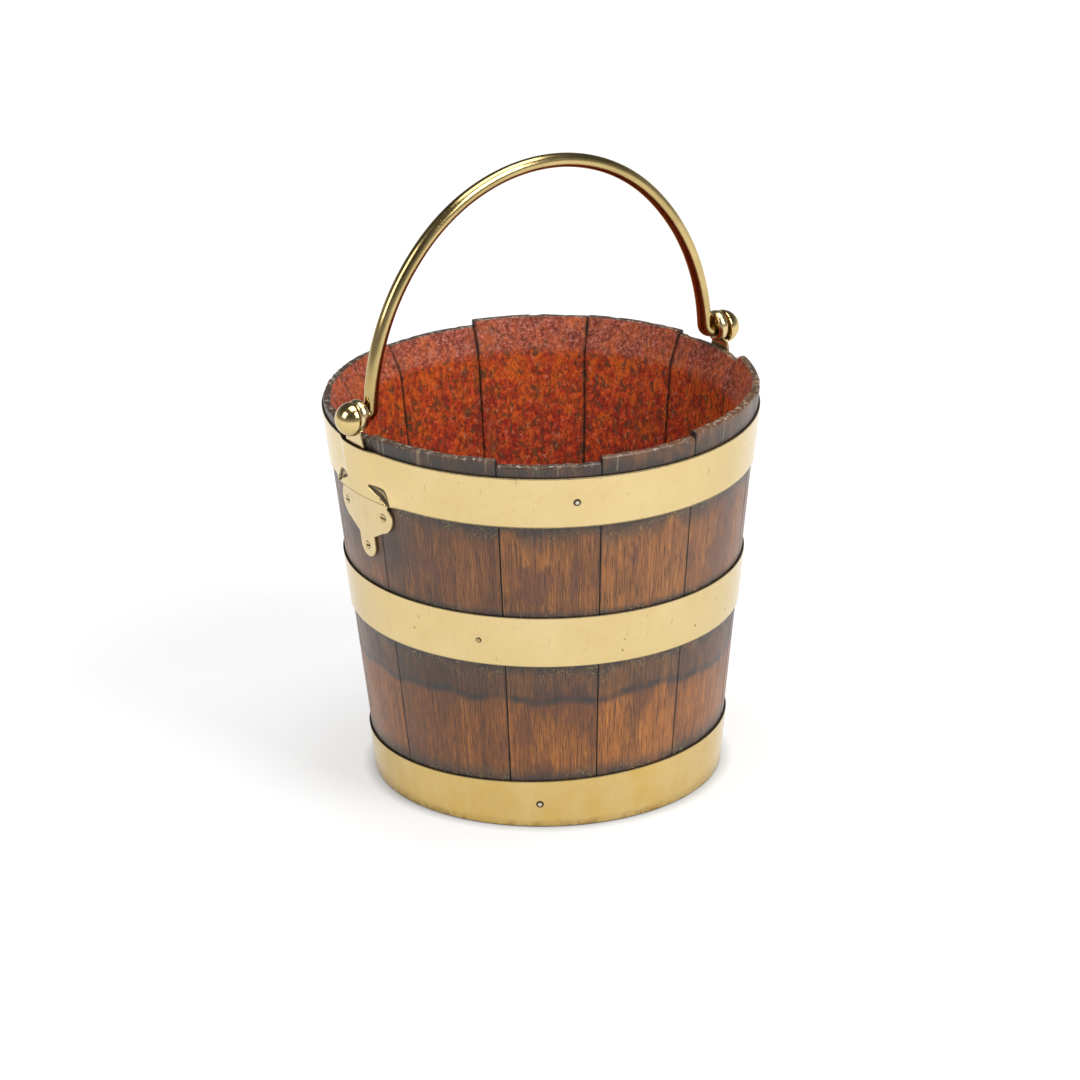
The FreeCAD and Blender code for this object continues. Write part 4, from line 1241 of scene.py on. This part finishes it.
def set_heads(tree, head, finishes, head_height, diameter, greatest_turn, seed):
    """Sets a head on every seat of these nodes, each with its finish."""
    for number, (node, finish) in enumerate(finishes.items()):
        seats = seats_of(node, head_height)
        mesh = bpy.data.meshes.new(f"{node}_heads")
        mesh.from_pydata([place for place, facing in seats], [], [])
        piece = new_object(f"{node}_heads", mesh)
        add_vectors(piece, "facing", [facing for place, facing in seats])
        run_tree(piece, tree, {
            "Head": head,
            "Head diameter": diameter,
            "Greatest turn": greatest_turn,
            "Seed": seed + number,
            "Finish": finish,
        })
        hand_over(piece, "bucket", "fastener_brass", node)
    bpy.data.objects.remove(head)


def make_fasteners():
    tree = set_heads_tree()
    nail = domed_head("nail_head", 2 * NAIL_HEAD_HEIGHT / NAIL_HEAD_DIAMETER, 0.8)
    set_heads(tree, nail, NAIL_FINISHES, NAIL_HEAD_HEIGHT, NAIL_HEAD_DIAMETER, math.pi, NAIL_SEED)
    rivet = domed_head("rivet_head", 2 * RIVET_HEAD_HEIGHT / RIVET_HEAD_DIAMETER, 0.5)
    rivets = {f"{name}_rivets": FASTENER_BRASS for name in HOOPS}
    set_heads(tree, rivet, rivets, RIVET_HEAD_HEIGHT, RIVET_HEAD_DIAMETER, math.pi, RIVET_SEED)
    screw = slotted_head("screw_head")
    screws = {f"ear_{side}_screws": FASTENER_BRASS for side in SIDES}
    set_heads(tree, screw, screws, 0.0, SCREW_HEAD_DIAMETER, SCREW_GREATEST_TURN, SCREW_SEED)


# Studio.

def make_floor():
    size = FLOOR_HALF_SIZE
    corners = [Vector((x, y, 0)) for x, y in ((-size, -size), (size, -size), (size, size), (-size, size))]
    floor = mesh_object("studio_floor", corners, [(0, 1, 2, 3)], (floor_finish(),))


def add_light(name, right, toward, up, width, height, power):
    lamp = bpy.data.lights.new(name, "AREA")
    lamp.shape = "RECTANGLE"
    lamp.size = width
    lamp.size_y = height
    lamp.energy = power
    piece = new_object(name, lamp)
    piece.location = TO_RIGHT * right + TO_CAMERA * toward + Vector((0, 0, up))
    piece.rotation_mode = "QUATERNION"
    piece.rotation_quaternion = (LIGHT_AIM - piece.location).to_track_quat("-Z", "Y")


def make_light():
    world = bpy.data.worlds.new("studio")
    bpy.context.scene.world = world
    world.use_nodes = True
    tree = world.node_tree
    place = add_node(tree, "ShaderNodeTexCoord", output="Generated")
    height = add_node(tree, "ShaderNodeSeparateXYZ", {"Vector": place}, "Z")
    feed(tree, tree.nodes["Background"].inputs["Color"], add_ramp(tree, height, SKY))
    for name, light in LIGHTS.items():
        add_light(name, *light)


def make_camera():
    level = Matrix.Rotation(CAMERA_AZIMUTH, 3, "Z")
    cosine, sine = math.cos(CAMERA_PITCH), math.sin(CAMERA_PITCH)
    ahead = Vector((math.sin(CAMERA_YAW) * cosine, math.cos(CAMERA_YAW) * cosine, -sine))
    right = Vector((math.cos(CAMERA_YAW), -math.sin(CAMERA_YAW), 0))
    up = right.cross(ahead)
    rolled_right = math.cos(CAMERA_ROLL) * right + math.sin(CAMERA_ROLL) * up
    rolled_up = -math.sin(CAMERA_ROLL) * right + math.cos(CAMERA_ROLL) * up
    turn = Matrix((level @ rolled_right, level @ rolled_up, level @ -ahead)).transposed()
    data = bpy.data.cameras.new("camera")
    data.sensor_width = CAMERA_SENSOR
    data.lens = CAMERA_LENS
    data.clip_end = CAMERA_FAR
    camera = new_object("camera", data)
    place = level @ Vector((0, -CAMERA_REACH, CAMERA_HEIGHT))
    camera.matrix_world = Matrix.Translation(place) @ turn.to_4x4()
    bpy.context.scene.camera = camera


# The finishes, then the pieces.

OAK = oak_finish()
PAINT = paint_finish()
DOWEL_WOOD = dowel_finish()
EAR_BRASS = brass_finish(
    "polished_ear_brass", ((0.66, 0.515, 0.27), (0.71, 0.56, 0.31)),
    film=(0.42, 0.29, 0.12), film_share=0.25, roughness=(0.20, 0.30))
BAIL_BRASS = brass_finish(
    "polished_bail_brass", ((0.41, 0.305, 0.125), (0.56, 0.424, 0.185)),
    film=(0.20, 0.14, 0.05), film_share=0.12, roughness=(0.15, 0.22), mark_share=0.1)
CAP_BRASS = brass_finish(
    "cap_brass", ((0.59, 0.445, 0.185), (0.66, 0.505, 0.225)),
    film=(0.36, 0.25, 0.10), film_share=0.3, roughness=(0.13, 0.21))
FASTENER_BRASS = brass_finish(
    "polished_fastener_brass", ((0.52, 0.39, 0.17), (0.62, 0.48, 0.23)),
    film=(0.16, 0.10, 0.04), film_share=0.5, roughness=(0.20, 0.34))
NAIL_METAL = brass_finish(
    "nail_metal", ((0.60, 0.54, 0.43), (0.70, 0.64, 0.53)),
    film=(0.30, 0.24, 0.16), film_share=0.3, roughness=(0.22, 0.36))
NAIL_FINISHES = {
    "top_hoop_nails": NAIL_METAL,
    "middle_hoop_nails": FASTENER_BRASS,
    "base_hoop_nails": NAIL_METAL,
}
HOOP_BRASS = brass_finish(
    "polished_hoop_brass", ((0.680, 0.518, 0.245), (0.715, 0.555, 0.280)),
    film=(0.50, 0.34, 0.13), film_share=0.15, roughness=(0.14, 0.24), mark_share=0.7,
    along="strip", nails=ringed_nail_seats())

for stave_number, stave_node in enumerate(STAVES, 1):
    make_stave(stave_number, stave_node)
for board_number in (1, 2, 3):
    make_base_board(board_number)
for hoop_name, hoop_sizes in HOOPS.items():
    make_hoop(hoop_name, hoop_sizes)
for side_name, side_direction in SIDES.items():
    make_ear(side_name, side_direction)
make_bail()
for side_name, side_direction in SIDES.items():
    make_cap(side_name, side_direction)
make_fasteners()
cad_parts["base_dowels"].data.materials.clear()
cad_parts["base_dowels"].data.materials.append(DOWEL_WOOD)
make_floor()
make_light()
make_camera()
bpy.context.scene.view_settings.view_transform = "Standard"
